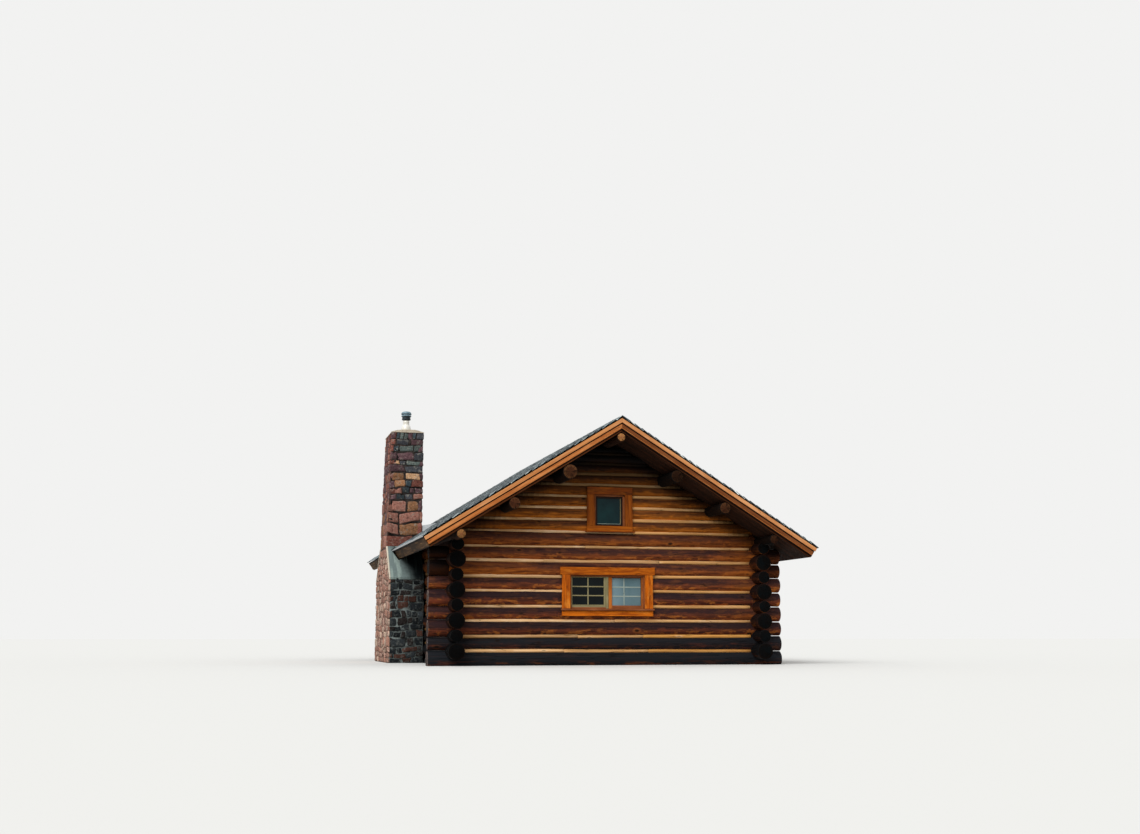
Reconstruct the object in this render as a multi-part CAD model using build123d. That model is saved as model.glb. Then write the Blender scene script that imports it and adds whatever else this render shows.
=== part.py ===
from build123d import *
import math
import os

os.makedirs("parts", exist_ok=True)

# Plan of the walls, between log centrelines, and the log ends that run past
wall_span_x = 5522.0
wall_span_y = 6908.0
crown_length = 433.0

# Round wall logs: thick and thin ones take turns, up each wall and round each corner
thick_radius = 131.0
thin_radius = 119.0
course_pitch = 258.4
first_log_height = 111.8
sill_log_extra = 14.0
front_courses = 9
side_courses = 8
seat_gap = 0.3

# Gable logs get thinner towards the ridge
gable_courses = 7
gable_pitch = 220.0
gable_pitch_step = 6.5
gable_log_gap = 8.0

# Chinking strips between the logs
chink_face = 70.0
chink_back = 30.0
chink_seat = 55.0

# Roof: slope, length and the two eaves, measured on top of the roof boards
apex_height = 4225.0
roof_rise = 0.617
left_eave_run = 3413.0
right_eave_run = 3562.0
roof_length = 8840.0
front_overhang = 966.0
roof_board_thickness = 26.0
rafter_depth = 146.0
rafter_width = 48.0
rafter_count = 12
soffit_thickness = 25.0
shingle_thickness = 34.0
shingle_step = 12.0
shingle_exposure = 145.0
shingle_overhang = 22.0
ridge_cap_width = 150.0
ridge_cap_thickness = 18.0

# Boards along the rakes and eaves
rake_trim_width = 88.0
rake_trim_thickness = 22.0
barge_width = 162.0
barge_thickness = 36.0
fascia_thickness = 24.0
fascia_height = 150.0

# Round timbers under the roof
ridge_pole_radius = 76.0
left_upper_purlin_radius = 128.0
right_upper_purlin_radius = 108.0
lower_purlin_radius = 100.0
plate_radius = 80.0
left_upper_purlin_offset = 910.0
right_upper_purlin_offset = 998.0
lower_purlin_offset = 1876.0
plate_offset = 2780.0

# Floors
sleeper_size = 110.0
sleeper_count = 6
floor_thickness = 36.0
joist_width = 90.0
joist_height = 130.0
joist_count = 6
loft_floor_thickness = 28.0

# Lower windows, clear size between the casing boards
window_offset = -42.0
window_width = 1360.0
window_height = 585.0
window_sill_height = 975.0
side_window_place = 4700.0

# Gable windows
gable_window_width = 556.0
gable_window_height = 553.0
gable_window_sill_height = 2423.0

# Window boards
casing_flat = 104.0
casing_thickness = 40.0
casing_width = 145.0
casing_head_width = 132.0
casing_head_ear = 34.0
gable_casing_width = 138.0
gable_casing_head_width = 134.0
frame_thickness = 40.0
frame_reveal = 30.0
sill_thickness = 34.0
sill_projection = 34.0
apron_height = 98.0
gable_apron_height = 94.0
gable_ledge_thickness = 20.0
sash_stile = 46.0
sash_thickness = 36.0
sash_setback = 26.0
mullion_width = 44.0
glass_thickness = 4.0
board_gap = 0.4

# Plank door on the right wall
door_place = 1750.0
door_width = 860.0
door_height = 1780.0
door_leaf_thickness = 45.0
door_casing_width = 124.0
threshold_height = 40.0
door_ledge_height = 130.0
door_ledge_thickness = 28.0

# Stone chimney on the left wall
chimney_place = 3800.0
chimney_base_length = 2300.0
chimney_reach = 660.0
shoulder_start = 1560.0
shoulder_height = 620.0
stack_length = 1110.0
stack_width = 698.0
stack_height = 4455.0
stack_batter = 60.0
crown_height = 58.0
crown_edge = 10.0
roof_clearance = 6.0
shoulder_wash_thickness = 40.0

# Metal flue on the chimney
collar_radius = 98.0
collar_height = 185.0
neck_radius = 62.0
neck_height = 80.0
flue_offset = 34.0
cowl_radius = 104.0
cowl_height = 185.0
flue_wall = 3.0

# Sheet metal on the roof
sheet_thickness = 2.0
eave_sheet_width = 420.0
cricket_reach = 300.0
cricket_height = 130.0

half_x = wall_span_x / 2
back_y = wall_span_y
slope_cos = 1 / math.hypot(1, roof_rise)
slope_sin = roof_rise * slope_cos
rake_front = -front_overhang
rake_back = rake_front + roof_length
soffit_top = roof_board_thickness + rafter_depth
soffit_bottom = soffit_top + soffit_thickness
floor_top = sleeper_size + floor_thickness
wall_top = first_log_height + course_pitch * (front_courses - 0.5)


def save(name, solids):
    """One STEP file for one sub-part, of one or more solids."""
    shapes = []
    for solid in solids:
        shapes.extend(solid.solids())
    export_step(Compound(children=shapes), f"parts/{name}.step")


def board(x_range, y_range, z_range):
    size = [high - low for low, high in (x_range, y_range, z_range)]
    middle = [(high + low) / 2 for low, high in (x_range, y_range, z_range)]
    return Pos(*middle) * Box(*size)


def round_log(start, end, radius):
    """A round log with its axis from start to end."""
    start = Vector(*start)
    along = Vector(*end) - start
    return Solid.make_cylinder(radius, along.length, Plane(origin=start, z_dir=along.normalized()))


def log_radius(course):
    return thin_radius if course % 2 else thick_radius


def end_log_circle(course):
    """Height and radius of a log of the front or back wall: the bottom ones are stouter."""
    height = first_log_height + course_pitch * course
    if course == 0:
        return height - sill_log_extra, log_radius(course) + sill_log_extra
    return height, log_radius(course)


def end_log(course, wall_y, extra=0.0):
    """A log of the front or back wall, along X."""
    reach = half_x if course == front_courses - 1 else half_x + crown_length
    height, radius = end_log_circle(course)
    return round_log((-reach, wall_y, height), (reach, wall_y, height), radius + extra)


def side_log_circle(course):
    return first_log_height + course_pitch * (course + 0.5), log_radius(course)


def side_log(course, wall_x, extra=0.0):
    """A log of the left or right wall, along Y."""
    height, radius = side_log_circle(course)
    start = (wall_x, -crown_length, height)
    return round_log(start, (wall_x, back_y + crown_length, height), radius + extra)


def plate_log(side, extra=0.0):
    """A wall plate, which runs out under both gable overhangs."""
    height = roof_underside(plate_offset) - plate_radius / slope_cos - seat_gap
    return roof_pole(side * plate_offset, height, plate_radius, extra)


def roof_underside(x):
    """Height of the soffit's underside at a distance from the ridge."""
    return apex_height - soffit_bottom / slope_cos - roof_rise * abs(x)


def roof_pole(x, height, radius, extra=0.0):
    front = rake_front + barge_thickness + rake_trim_thickness + board_gap
    back = rake_back - barge_thickness - rake_trim_thickness - board_gap
    return round_log((x, front, height), (x, back, height), radius + extra)


def purlins(extra=0.0):
    """Two purlins under each slope. The upper left one is the stoutest."""
    poles = []
    for place, radius in (
        (-left_upper_purlin_offset, left_upper_purlin_radius),
        (-lower_purlin_offset, lower_purlin_radius),
        (right_upper_purlin_offset, right_upper_purlin_radius),
        (lower_purlin_offset, lower_purlin_radius),
    ):
        height = roof_underside(place) - radius / slope_cos - seat_gap
        poles.append(roof_pole(place, height, radius, extra))
    return poles


def ridge_pole(extra=0.0):
    height = roof_underside(0) - ridge_pole_radius / slope_cos - seat_gap
    return roof_pole(0, height, ridge_pole_radius, extra)


def slope_slab(side, top, bottom, y_range, run, start_run=0.0):
    """A layer that follows one slope, between two depths below the roof boards' top."""
    def on_slope(distance, depth):
        x = distance * slope_cos - depth * slope_sin
        z = apex_height - distance * slope_sin - depth * slope_cos
        return side * x, z

    length = run / slope_cos
    if start_run == 0.0:
        first = (side * seat_gap, apex_height - top / slope_cos)
        last = (side * seat_gap, apex_height - bottom / slope_cos)
    else:
        first = on_slope(start_run / slope_cos, top)
        last = on_slope(start_run / slope_cos, bottom)
    points = [first, on_slope(length, top), on_slope(length, bottom), last]
    face = Plane.XZ * make_face(Polyline(*points, close=True))
    solid = extrude(face, amount=y_range[1] - y_range[0], dir=(0, 1, 0))
    return Pos(0, y_range[0], 0) * solid


def eave_run(side):
    return left_eave_run if side < 0 else right_eave_run


# Openings in the log walls: each window or door is drawn at the wall's middle, facing -Y
def wall_place(wall, along):
    """Where an opening's own frame goes on a wall."""
    if wall == "front":
        return Pos(along, 0, 0)
    if wall == "back":
        return Pos(-along, back_y, 0) * Rot(0, 0, 180)
    return Pos(half_x, along, 0) * Rot(0, 0, 90)


def opening_cut(width, low, high, side_width, head_width, foot_width):
    """The rough opening through the wall, and the flat hewn round it for the casing."""
    half = width / 2 - frame_reveal + frame_thickness + seat_gap
    top = high - frame_reveal + frame_thickness + seat_gap
    bottom = low - frame_thickness - seat_gap
    hole = board((-half, half), (-400, 400), (bottom, top))
    flat_half = width / 2 + side_width + casing_head_ear + sill_projection
    flat_range = (low - foot_width - 2 * board_gap, high + head_width + board_gap)
    flat = board((-flat_half, flat_half), (-400, -casing_flat), flat_range)
    return hole + flat


def casing_boards(width, low, high, side_width, head_width, ear=casing_head_ear):
    """A head board and two side boards."""
    front = -casing_flat - seat_gap - casing_thickness
    depth = (front, -casing_flat - seat_gap)
    half = width / 2
    head_half = half + side_width + ear
    head = board((-head_half, head_half), depth, (high, high + head_width))
    sides = []
    for side in (-1, 1):
        edges = sorted((side * half, side * (half + side_width)))
        sides.append(board(edges, depth, (low + board_gap, high - board_gap)))
    return [head] + sides


def apron_and_sill(width, low, side_width, pair):
    """The board under a window and its sill: above the board downstairs, below it in the gable."""
    front = -casing_flat - seat_gap - casing_thickness
    back = -casing_flat - seat_gap
    half = width / 2 + side_width
    if pair:
        sill_range = (low - sill_thickness, low)
        apron_top = low - sill_thickness - board_gap
        apron_low = apron_top - apron_height
        overlap = sill_projection / 2
    else:
        apron_top = low - board_gap
        apron_low = apron_top - gable_apron_height
        sill_range = (apron_low - board_gap - gable_ledge_thickness, apron_low - board_gap)
        overlap = sill_projection
    sill = board((-half - overlap, half + overlap), (front - sill_projection, back), sill_range)
    apron = board((-half, half), (front, back), (apron_low, apron_top))
    return sill, apron


def foot_height(pair):
    """How far the boards reach down under a window."""
    if pair:
        return sill_thickness + apron_height + 2 * board_gap
    return gable_apron_height + gable_ledge_thickness + 2 * board_gap


def frame_ring(width, low, high, bottom_board=True):
    """The boards that line the opening."""
    inner = width / 2 - frame_reveal
    outer = inner + frame_thickness
    top = high - frame_reveal
    floor_level = low if bottom_board else low - board_gap
    base = low - frame_thickness if bottom_board else low
    ring = board((-outer, outer), (-casing_flat, casing_flat), (base, top + frame_thickness))
    inside = board((-inner, inner), (-400, 400), (floor_level, top))
    return ring - inside


def sash(x_range, z_range, front):
    outer = board(x_range, (front, front + sash_thickness), z_range)
    inner_x = (x_range[0] + sash_stile, x_range[1] - sash_stile)
    inner_z = (z_range[0] + sash_stile, z_range[1] - sash_stile)
    return outer - board(inner_x, (-400, 400), inner_z)


def sash_glass(x_range, z_range, front):
    lap = sash_stile - seat_gap
    middle = front + sash_thickness / 2
    return board(
        (x_range[0] + lap + 2 * seat_gap, x_range[1] - lap - 2 * seat_gap),
        (middle - glass_thickness / 2, middle + glass_thickness / 2),
        (z_range[0] + lap + 2 * seat_gap, z_range[1] - lap - 2 * seat_gap),
    )


def sash_ranges(width, low, high, pair):
    """The clear widths that the sashes of one window fill."""
    inner = width / 2 - frame_reveal - seat_gap
    z_range = (low + seat_gap, high - frame_reveal - seat_gap)
    if not pair:
        return [(-inner, inner)], z_range
    near = mullion_width / 2 + seat_gap
    return [(-inner, -near), (near, inner)], z_range


def window_set(wall, along, width, low, height, pair, side_width, head_width):
    """All the solids of one window, in place on its wall."""
    high = low + height
    place = wall_place(wall, along)
    front = -casing_flat + sash_setback
    x_ranges, z_range = sash_ranges(width, low, high, pair)
    sill, apron = apron_and_sill(width, low, side_width, pair)
    ear = casing_head_ear if pair else 0.0
    frame = frame_ring(width, low, high)
    if pair:
        post_x = (-mullion_width / 2, mullion_width / 2)
        frame += board(post_x, (-casing_flat, casing_flat), (low, high - frame_reveal))
    boards = casing_boards(width, low, high, side_width, head_width, ear)
    return {
        "cut": place * opening_cut(width, low, high, side_width, head_width, foot_height(pair)),
        "casing": [place * piece for piece in boards],
        "sill": place * sill,
        "apron": place * apron,
        "frame": place * frame,
        "sashes": [place * sash(x_range, z_range, front) for x_range in x_ranges],
        "glass": [place * sash_glass(x_range, z_range, front) for x_range in x_ranges],
    }


def door_set():
    """All the solids of the door, in place on the right wall."""
    place = wall_place("right", door_place)
    low = floor_top + threshold_height
    high = low + door_height
    inner = door_width / 2 - frame_reveal
    front = -casing_flat + sash_setback
    gap = 3.0
    leaf = board(
        (-inner + gap, inner - gap),
        (front, front + door_leaf_thickness),
        (low + gap, high - frame_reveal - gap),
    )
    ledges = []
    for share in (0.18, 0.82):
        middle = low + share * door_height
        ledges.append(
            board(
                (-inner + 30, inner - 30),
                (front + door_leaf_thickness + seat_gap, front + door_leaf_thickness + door_ledge_thickness),
                (middle - door_ledge_height / 2, middle + door_ledge_height / 2),
            )
        )
    threshold = board(
        (-inner + seat_gap, inner - seat_gap),
        (-casing_flat - 60, casing_flat),
        (floor_top + seat_gap, low),
    )
    return {
        "cut": place * opening_cut(door_width, floor_top + frame_thickness, high,
                                   door_casing_width, door_casing_width, frame_thickness),
        "casing": [place * piece for piece in casing_boards(
            door_width, floor_top + frame_thickness, high, door_casing_width, door_casing_width)],
        "frame": place * frame_ring(door_width, floor_top, high, bottom_board=False),
        "leaf": place * leaf,
        "ledges": [place * ledge for ledge in ledges],
        "threshold": place * threshold,
    }


def door_hardware():
    """Two strap hinges and a pull handle on the outside of the leaf."""
    place = wall_place("right", door_place)
    low = floor_top + threshold_height
    inner = door_width / 2 - frame_reveal
    face = -casing_flat + sash_setback - seat_gap
    pieces = []
    for share in (0.18, 0.82):
        middle = low + share * door_height
        strap = board((-inner + 8, inner * 0.45), (face - 5, face), (middle - 20, middle + 20))
        lug = board((-inner + seat_gap, -inner + 20), (face - 16, face - 4), (middle - 30, middle + 30))
        pieces.append(place * (strap + lug))
    grip_x = (inner - 78, inner - 62)
    grip = board(grip_x, (face - 50, face), (low + 815, low + 945))
    pieces.append(place * (grip - board((-inner, inner), (face - 34, face + 10), (low + 831, low + 929))))
    return pieces


def cut_all(solid, tools):
    for tool in tools:
        solid = solid - tool
    return solid


def end_wall(wall_y, cuts):
    """The full-width courses of the front or back wall."""
    ground = board((-half_x * 2, half_x * 2), (wall_y - 400, wall_y + 400), (-400, 0))
    logs = []
    for course in range(front_courses):
        log = end_log(course, wall_y)
        if course == 0:
            log = log - ground
        else:
            for wall_x in (-half_x, half_x):
                log = log - side_log(course - 1, wall_x, seat_gap)
        if course >= front_courses - 2:
            log = cut_all(log, [plate_log(-1, seat_gap), plate_log(1, seat_gap)] + roof_void())
        logs.append(cut_all(log, cuts))
    return logs


def side_wall(wall_x, cuts):
    """The courses of the left or right wall, each saddled over the end walls' logs."""
    logs = []
    for course in range(side_courses):
        log = side_log(course, wall_x)
        for wall_y in (0, back_y):
            log = log - end_log(course, wall_y, seat_gap)
        logs.append(cut_all(log, cuts))
    return logs


def side_sill(wall_x):
    """A half log that closes the wall's foot between the end walls' bottom logs."""
    height, radius = side_log_circle(0)
    log = round_log((wall_x, 0, 0), (wall_x, back_y, 0), height - radius - seat_gap)
    log = log - board((wall_x - 400, wall_x + 400), (-back_y, 2 * back_y), (-400, 0))
    log = log - end_log(0, 0, seat_gap)
    return log - end_log(0, back_y, seat_gap)


def gable_chink(level):
    """Height of the joint under a gable course."""
    return wall_top + gable_pitch * level - gable_pitch_step * level * (level - 1) / 2


def gable_log_circle(level):
    low_joint = gable_chink(level)
    high_joint = gable_chink(level + 1)
    return (low_joint + high_joint) / 2, (high_joint - low_joint - gable_log_gap) / 2


def gable_log(level, wall_y, extra=0.0):
    reach = min(half_x, (roof_underside(0) - gable_chink(level)) / roof_rise)
    height, radius = gable_log_circle(level)
    return round_log((-reach, wall_y, height), (reach, wall_y, height), radius + extra)


def roof_void():
    """Everything above the soffit's underside, to trim what ends under the roof."""
    tops = []
    for side in (-1, 1):
        tops.append(slope_slab(side, -900, soffit_bottom + seat_gap, (rake_front, rake_back), half_x * 1.6))
    middle = board((-40, 40), (rake_front, rake_back), (roof_underside(20), apex_height + 900))
    return tops + [middle]


def roof_timbers(extra):
    return [ridge_pole(extra)] + purlins(extra) + [plate_log(side, extra) for side in (-1, 1)]


def gable_wall(wall_y, cuts):
    trims = roof_void() + roof_timbers(seat_gap)
    return [cut_all(gable_log(level, wall_y), trims + cuts) for level in range(gable_courses)]


def chink_section(below, above, outward):
    """A wedge in the groove between two logs, tangent to both: (distance out, height) points."""
    points = []
    for (height, radius), sign in ((below, 1), (above, -1)):
        full = radius + seat_gap
        rise = math.sqrt(full**2 - chink_seat**2)
        for out in (chink_back, chink_face):
            points.append((outward * out, height + sign * (full**2 - chink_seat * out) / rise))
    return [points[0], points[1], points[3], points[2]]


def end_strip(wall_y, below, above, reach):
    """One strip of chinking along a front or back wall."""
    outward = -1 if wall_y == 0 else 1
    face = Plane.YZ * make_face(Polyline(*chink_section(below, above, outward), close=True))
    return Pos(-reach, wall_y, 0) * extrude(face, amount=2 * reach, dir=(1, 0, 0))


def end_chinking(wall_y, cuts):
    strips = []
    inner = half_x - thick_radius - seat_gap
    for course in range(front_courses - 1):
        strip = end_strip(wall_y, end_log_circle(course), end_log_circle(course + 1), inner)
        strips.append(cut_all(strip, cuts))
    trims = roof_void() + roof_timbers(seat_gap)
    for level in range(gable_courses):
        below = gable_log_circle(level - 1) if level else end_log_circle(front_courses - 1)
        reach = min(inner, (roof_underside(0) - gable_chink(level)) / roof_rise)
        strip = end_strip(wall_y, below, gable_log_circle(level), reach)
        strips.append(cut_all(strip, trims + cuts))
    return strips


def side_chinking(wall_x, cuts):
    strips = []
    inner = thick_radius + seat_gap
    outward = math.copysign(1, wall_x)
    for course in range(side_courses - 1):
        section = chink_section(side_log_circle(course), side_log_circle(course + 1), outward)
        face = Plane.XZ * make_face(Polyline(*section, close=True))
        strip = extrude(face, amount=back_y - 2 * inner, dir=(0, 1, 0))
        strips.append(cut_all(Pos(wall_x, inner, 0) * strip, cuts))
    return strips


# The chimney: a broad base, sloped shoulders, and a stack through the left eave
chimney_back = -half_x - thick_radius - 2 * seat_gap
chimney_front = chimney_back - chimney_reach


def chimney_profile():
    """Outline seen from the left, from the ground to the top of the shoulders."""
    half = chimney_base_length / 2
    neck = stack_length / 2
    shoulder_top = shoulder_start + shoulder_height
    return [
        (chimney_place - half, 0),
        (chimney_place + half, 0),
        (chimney_place + half, shoulder_start),
        (chimney_place + neck, shoulder_top),
        (chimney_place - neck, shoulder_top),
        (chimney_place - half, shoulder_start),
    ]


def eave_body():
    """The left eave with all its layers, as the masonry below it is built up to it."""
    slab = slope_slab(-1, -roof_clearance - shingle_thickness - 10, soffit_bottom + seat_gap,
                      (rake_front, rake_back), left_eave_run + shingle_overhang + roof_clearance)
    return slab - chimney_hole(roof_clearance - seat_gap)


def chimney_base():
    face = Plane.YZ * make_face(Polyline(*chimney_profile(), close=True))
    block = extrude(face, amount=chimney_back - chimney_front, dir=(1, 0, 0))
    return Pos(chimney_front, 0, 0) * block - eave_body()


def shoulder_wash(side):
    """The smooth cement coat over one shoulder."""
    half = chimney_base_length / 2
    neck = stack_length / 2
    rise = shoulder_height
    start = chimney_place + side * half
    end = chimney_place + side * (neck + seat_gap)
    lift = shoulder_wash_thickness
    points = [
        (start, shoulder_start + seat_gap),
        (end, shoulder_start + rise + seat_gap),
        (end, shoulder_start + rise + lift),
        (start, shoulder_start + lift),
    ]
    face = Plane.YZ * make_face(Polyline(*points, close=True))
    coat = extrude(face, amount=chimney_back - chimney_front, dir=(1, 0, 0))
    return Pos(chimney_front, 0, 0) * coat - eave_body()


def stack_right():
    return chimney_front + stack_width


def chimney_stack():
    """The stack, battered a little on its outer face, notched over the wall plate."""
    low = shoulder_start + shoulder_height + seat_gap
    y_low = chimney_place - stack_length / 2
    y_high = chimney_place + stack_length / 2
    points = [
        (chimney_front, low),
        (stack_right(), low),
        (stack_right(), stack_height),
        (chimney_front + stack_batter, stack_height),
    ]
    face = Plane.XZ * make_face(Polyline(*points, close=True))
    block = Pos(0, y_low, 0) * extrude(face, amount=stack_length, dir=(0, 1, 0))
    notch_top = roof_underside(chimney_back) + 120
    return block - board((chimney_back, 0), (y_low - 10, y_high + 10), (0, notch_top))


def chimney_crown():
    """The mortar cap on the stack, crowned towards its middle."""
    half = (stack_right() - chimney_front - stack_batter) / 2
    flat = collar_radius + 12
    points = [
        (-half, seat_gap),
        (half, seat_gap),
        (half, crown_edge),
        ((half + flat) / 2, crown_height * 0.72),
        (flue_offset + flat, crown_height),
        (flue_offset - flat, crown_height),
        (-(half + flat) / 2, crown_height * 0.72),
        (-half, crown_edge),
    ]
    face = Plane.XZ * make_face(Polyline(*points, close=True))
    cap = extrude(face, amount=stack_length, dir=(0, 1, 0))
    return Pos(stack_middle(), chimney_place - stack_length / 2, stack_height) * cap


def stack_middle():
    return (chimney_front + stack_batter + stack_right()) / 2


def flue_axis():
    return Pos(stack_middle() + flue_offset, chimney_place, stack_height + crown_height)


def revolved(points):
    face = Plane.XZ * make_face(Polyline(*points, close=True))
    return flue_axis() * revolve(face, axis=Axis.Z, revolution_arc=360)


def flue_collar():
    """A domed sheet collar that sheds water round the flue."""
    top = collar_height
    points = [
        (collar_radius, seat_gap),
        (collar_radius * 0.93, top * 0.6),
        (neck_radius, top),
        (neck_radius - flue_wall, top),
        (collar_radius * 0.93 - flue_wall, top * 0.6 - flue_wall),
        (collar_radius - flue_wall, seat_gap),
    ]
    return revolved(points)


def flue_cowl():
    """Neck and ringed cowl as one turned shell, closed by its cap."""
    low = collar_height + seat_gap
    neck_top = low + neck_height
    points = [
        (neck_radius - flue_wall, low),
        (neck_radius, low),
        (neck_radius, neck_top),
        (cowl_radius * 0.82, neck_top + 12),
        (cowl_radius * 0.82, neck_top + cowl_height * 0.4),
        (cowl_radius, neck_top + cowl_height * 0.4),
        (cowl_radius, neck_top + cowl_height * 0.8),
        (0, neck_top + cowl_height),
        (0, neck_top + cowl_height - 5),
        (cowl_radius * 0.76, neck_top + cowl_height * 0.72),
        (cowl_radius * 0.76, neck_top + 16),
        (neck_radius - flue_wall, neck_top + 4),
    ]
    return revolved(points)


def chimney_hole(extra=roof_clearance):
    """What the roof's layers leave free round the stack."""
    return board(
        (chimney_front - 600, stack_right() + extra),
        (chimney_place - stack_length / 2 - extra, chimney_place + stack_length / 2 + extra),
        (roof_underside(left_eave_run) - 400, stack_height),
    )


def shingle_layer(side):
    """A slope of shingles as one sheet with a stepped top."""
    length = (eave_run(side) + shingle_overhang) / slope_cos
    count = math.ceil(length / shingle_exposure)
    outline = [(0.0, seat_gap), (length, seat_gap)]
    for row in range(count):
        butt = length - shingle_exposure * row
        start = max(butt - shingle_exposure, 0.0)
        outline.append((butt, shingle_thickness))
        outline.append((start, shingle_thickness - shingle_step))
    plane_points = []
    for distance, lift in outline:
        x = distance * slope_cos + lift * slope_sin
        z = apex_height - distance * slope_sin + lift * slope_cos
        plane_points.append((side * x, z))
    face = Plane.XZ * make_face(Polyline(*plane_points, close=True))
    sheet = extrude(face, amount=roof_length, dir=(0, 1, 0))
    sheet = Pos(0, rake_front, 0) * sheet
    beyond = board((-side * 400, -side * seat_gap) if side > 0 else (seat_gap, 400),
                   (rake_front - 10, rake_back + 10), (apex_height - 300, apex_height + 300))
    return sheet - beyond


def ridge_cap():
    """Two boards in a V over the ridge."""
    top = shingle_thickness + ridge_cap_thickness
    low = shingle_thickness + seat_gap

    def point(side, distance, lift):
        x = distance * slope_cos + lift * slope_sin
        return side * x, apex_height - distance * slope_sin + lift * slope_cos

    points = [
        (0, apex_height + top / slope_cos),
        point(1, ridge_cap_width, top),
        point(1, ridge_cap_width, low),
        (0, apex_height + low / slope_cos),
        point(-1, ridge_cap_width, low),
        point(-1, ridge_cap_width, top),
    ]
    face = Plane.XZ * make_face(Polyline(*points, close=True))
    return Pos(0, rake_front, 0) * extrude(face, amount=roof_length, dir=(0, 1, 0))


def rake_pieces(depth_top, depth_bottom, near, far):
    """A pair of boards down each rake, at both gables."""
    pieces = []
    for side in (-1, 1):
        for y_range in ((rake_front + near, rake_front + far), (rake_back - far, rake_back - near)):
            pieces.append(slope_slab(side, depth_top, depth_bottom, y_range, eave_run(side)))
    return pieces


def rafters(hole):
    """Rafters between the soffit and the roof boards, the first and last behind the barge boards."""
    pieces = []
    first = rake_front + rake_trim_thickness + barge_thickness + board_gap
    last = rake_back - rake_trim_thickness - barge_thickness - board_gap - rafter_width
    for side in (-1, 1):
        for number in range(rafter_count):
            low = first + (last - first) * number / (rafter_count - 1)
            run = eave_run(side) - fascia_thickness
            piece = slope_slab(side, roof_board_thickness + seat_gap, soffit_top - seat_gap,
                               (low, low + rafter_width), run)
            pieces.append(piece - hole if side < 0 else piece)
    return pieces


def roof_layer(side, top, bottom, hole, near, run):
    slab = slope_slab(side, top, bottom, (rake_front + near, rake_back - near), run)
    return slab - hole if side < 0 else slab


def eave_fascia(side, hole):
    """The board that closes the rafter ends."""
    near = rake_trim_thickness + barge_thickness + board_gap
    slab = slope_slab(side, roof_board_thickness + seat_gap, roof_board_thickness + fascia_height,
                      (rake_front + near, rake_back - near), eave_run(side),
                      eave_run(side) - fascia_thickness + seat_gap)
    return slab - hole if side < 0 else slab


def sleepers():
    pieces = []
    inner = half_x - thick_radius - seat_gap
    first = thick_radius + sill_log_extra + seat_gap
    last = back_y - first - sleeper_size
    for number in range(sleeper_count):
        low = first + (last - first) * number / (sleeper_count - 1)
        pieces.append(board((-inner, inner), (low, low + sleeper_size), (0, sleeper_size)))
    return pieces


def room_floor():
    inner = half_x - thick_radius - seat_gap
    first = thick_radius + sill_log_extra + seat_gap
    return board((-inner, inner), (first, back_y - first), (sleeper_size + seat_gap, floor_top))


def loft_joists():
    top = first_log_height + course_pitch * side_courses + joist_height / 2
    pieces = []
    first = thick_radius + 320
    last = back_y - first - joist_width
    trims = []
    for side in (-1, 1):
        trims.append(side_log(side_courses - 1, side * half_x, seat_gap))
        trims.append(plate_log(side, seat_gap))
    for number in range(joist_count):
        low = first + (last - first) * number / (joist_count - 1)
        beam = board((-half_x + 60, half_x - 60), (low, low + joist_width), (top - joist_height, top))
        pieces.append(cut_all(beam, trims))
    return pieces


def loft_floor():
    top = first_log_height + course_pitch * side_courses + joist_height / 2
    inner = plate_offset - plate_radius - 12
    first = thick_radius + seat_gap
    return board((-inner, inner), (first, back_y - first),
                 (top + seat_gap, top + loft_floor_thickness))


def eave_sheet(hole):
    """The smooth metal sheet laid over the shingles along the eave beside the chimney."""
    top = -(shingle_thickness + sheet_thickness)
    low = -(shingle_thickness + seat_gap)
    run = left_eave_run + shingle_overhang
    y_range = (rake_front, chimney_place - stack_length / 2 - roof_clearance)
    return slope_slab(-1, top, low, y_range, run, run - eave_sheet_width * slope_cos) - hole


def cricket():
    """The small sheet saddle that turns water round the stack's upper side."""
    x_low = stack_right() + seat_gap
    half = stack_length / 2
    lift = (shingle_thickness + seat_gap) / slope_cos

    def roof_top(x):
        return apex_height - roof_rise * abs(x) + lift

    x_high = x_low + cricket_reach
    points = [(x_low, roof_top(x_low)), (x_high, roof_top(x_high)), (x_low, roof_top(x_low) + cricket_height)]
    face = Plane.XZ * make_face(Polyline(*points, close=True))
    return Pos(0, chimney_place - half, 0) * extrude(face, amount=stack_length, dir=(0, 1, 0))


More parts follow.
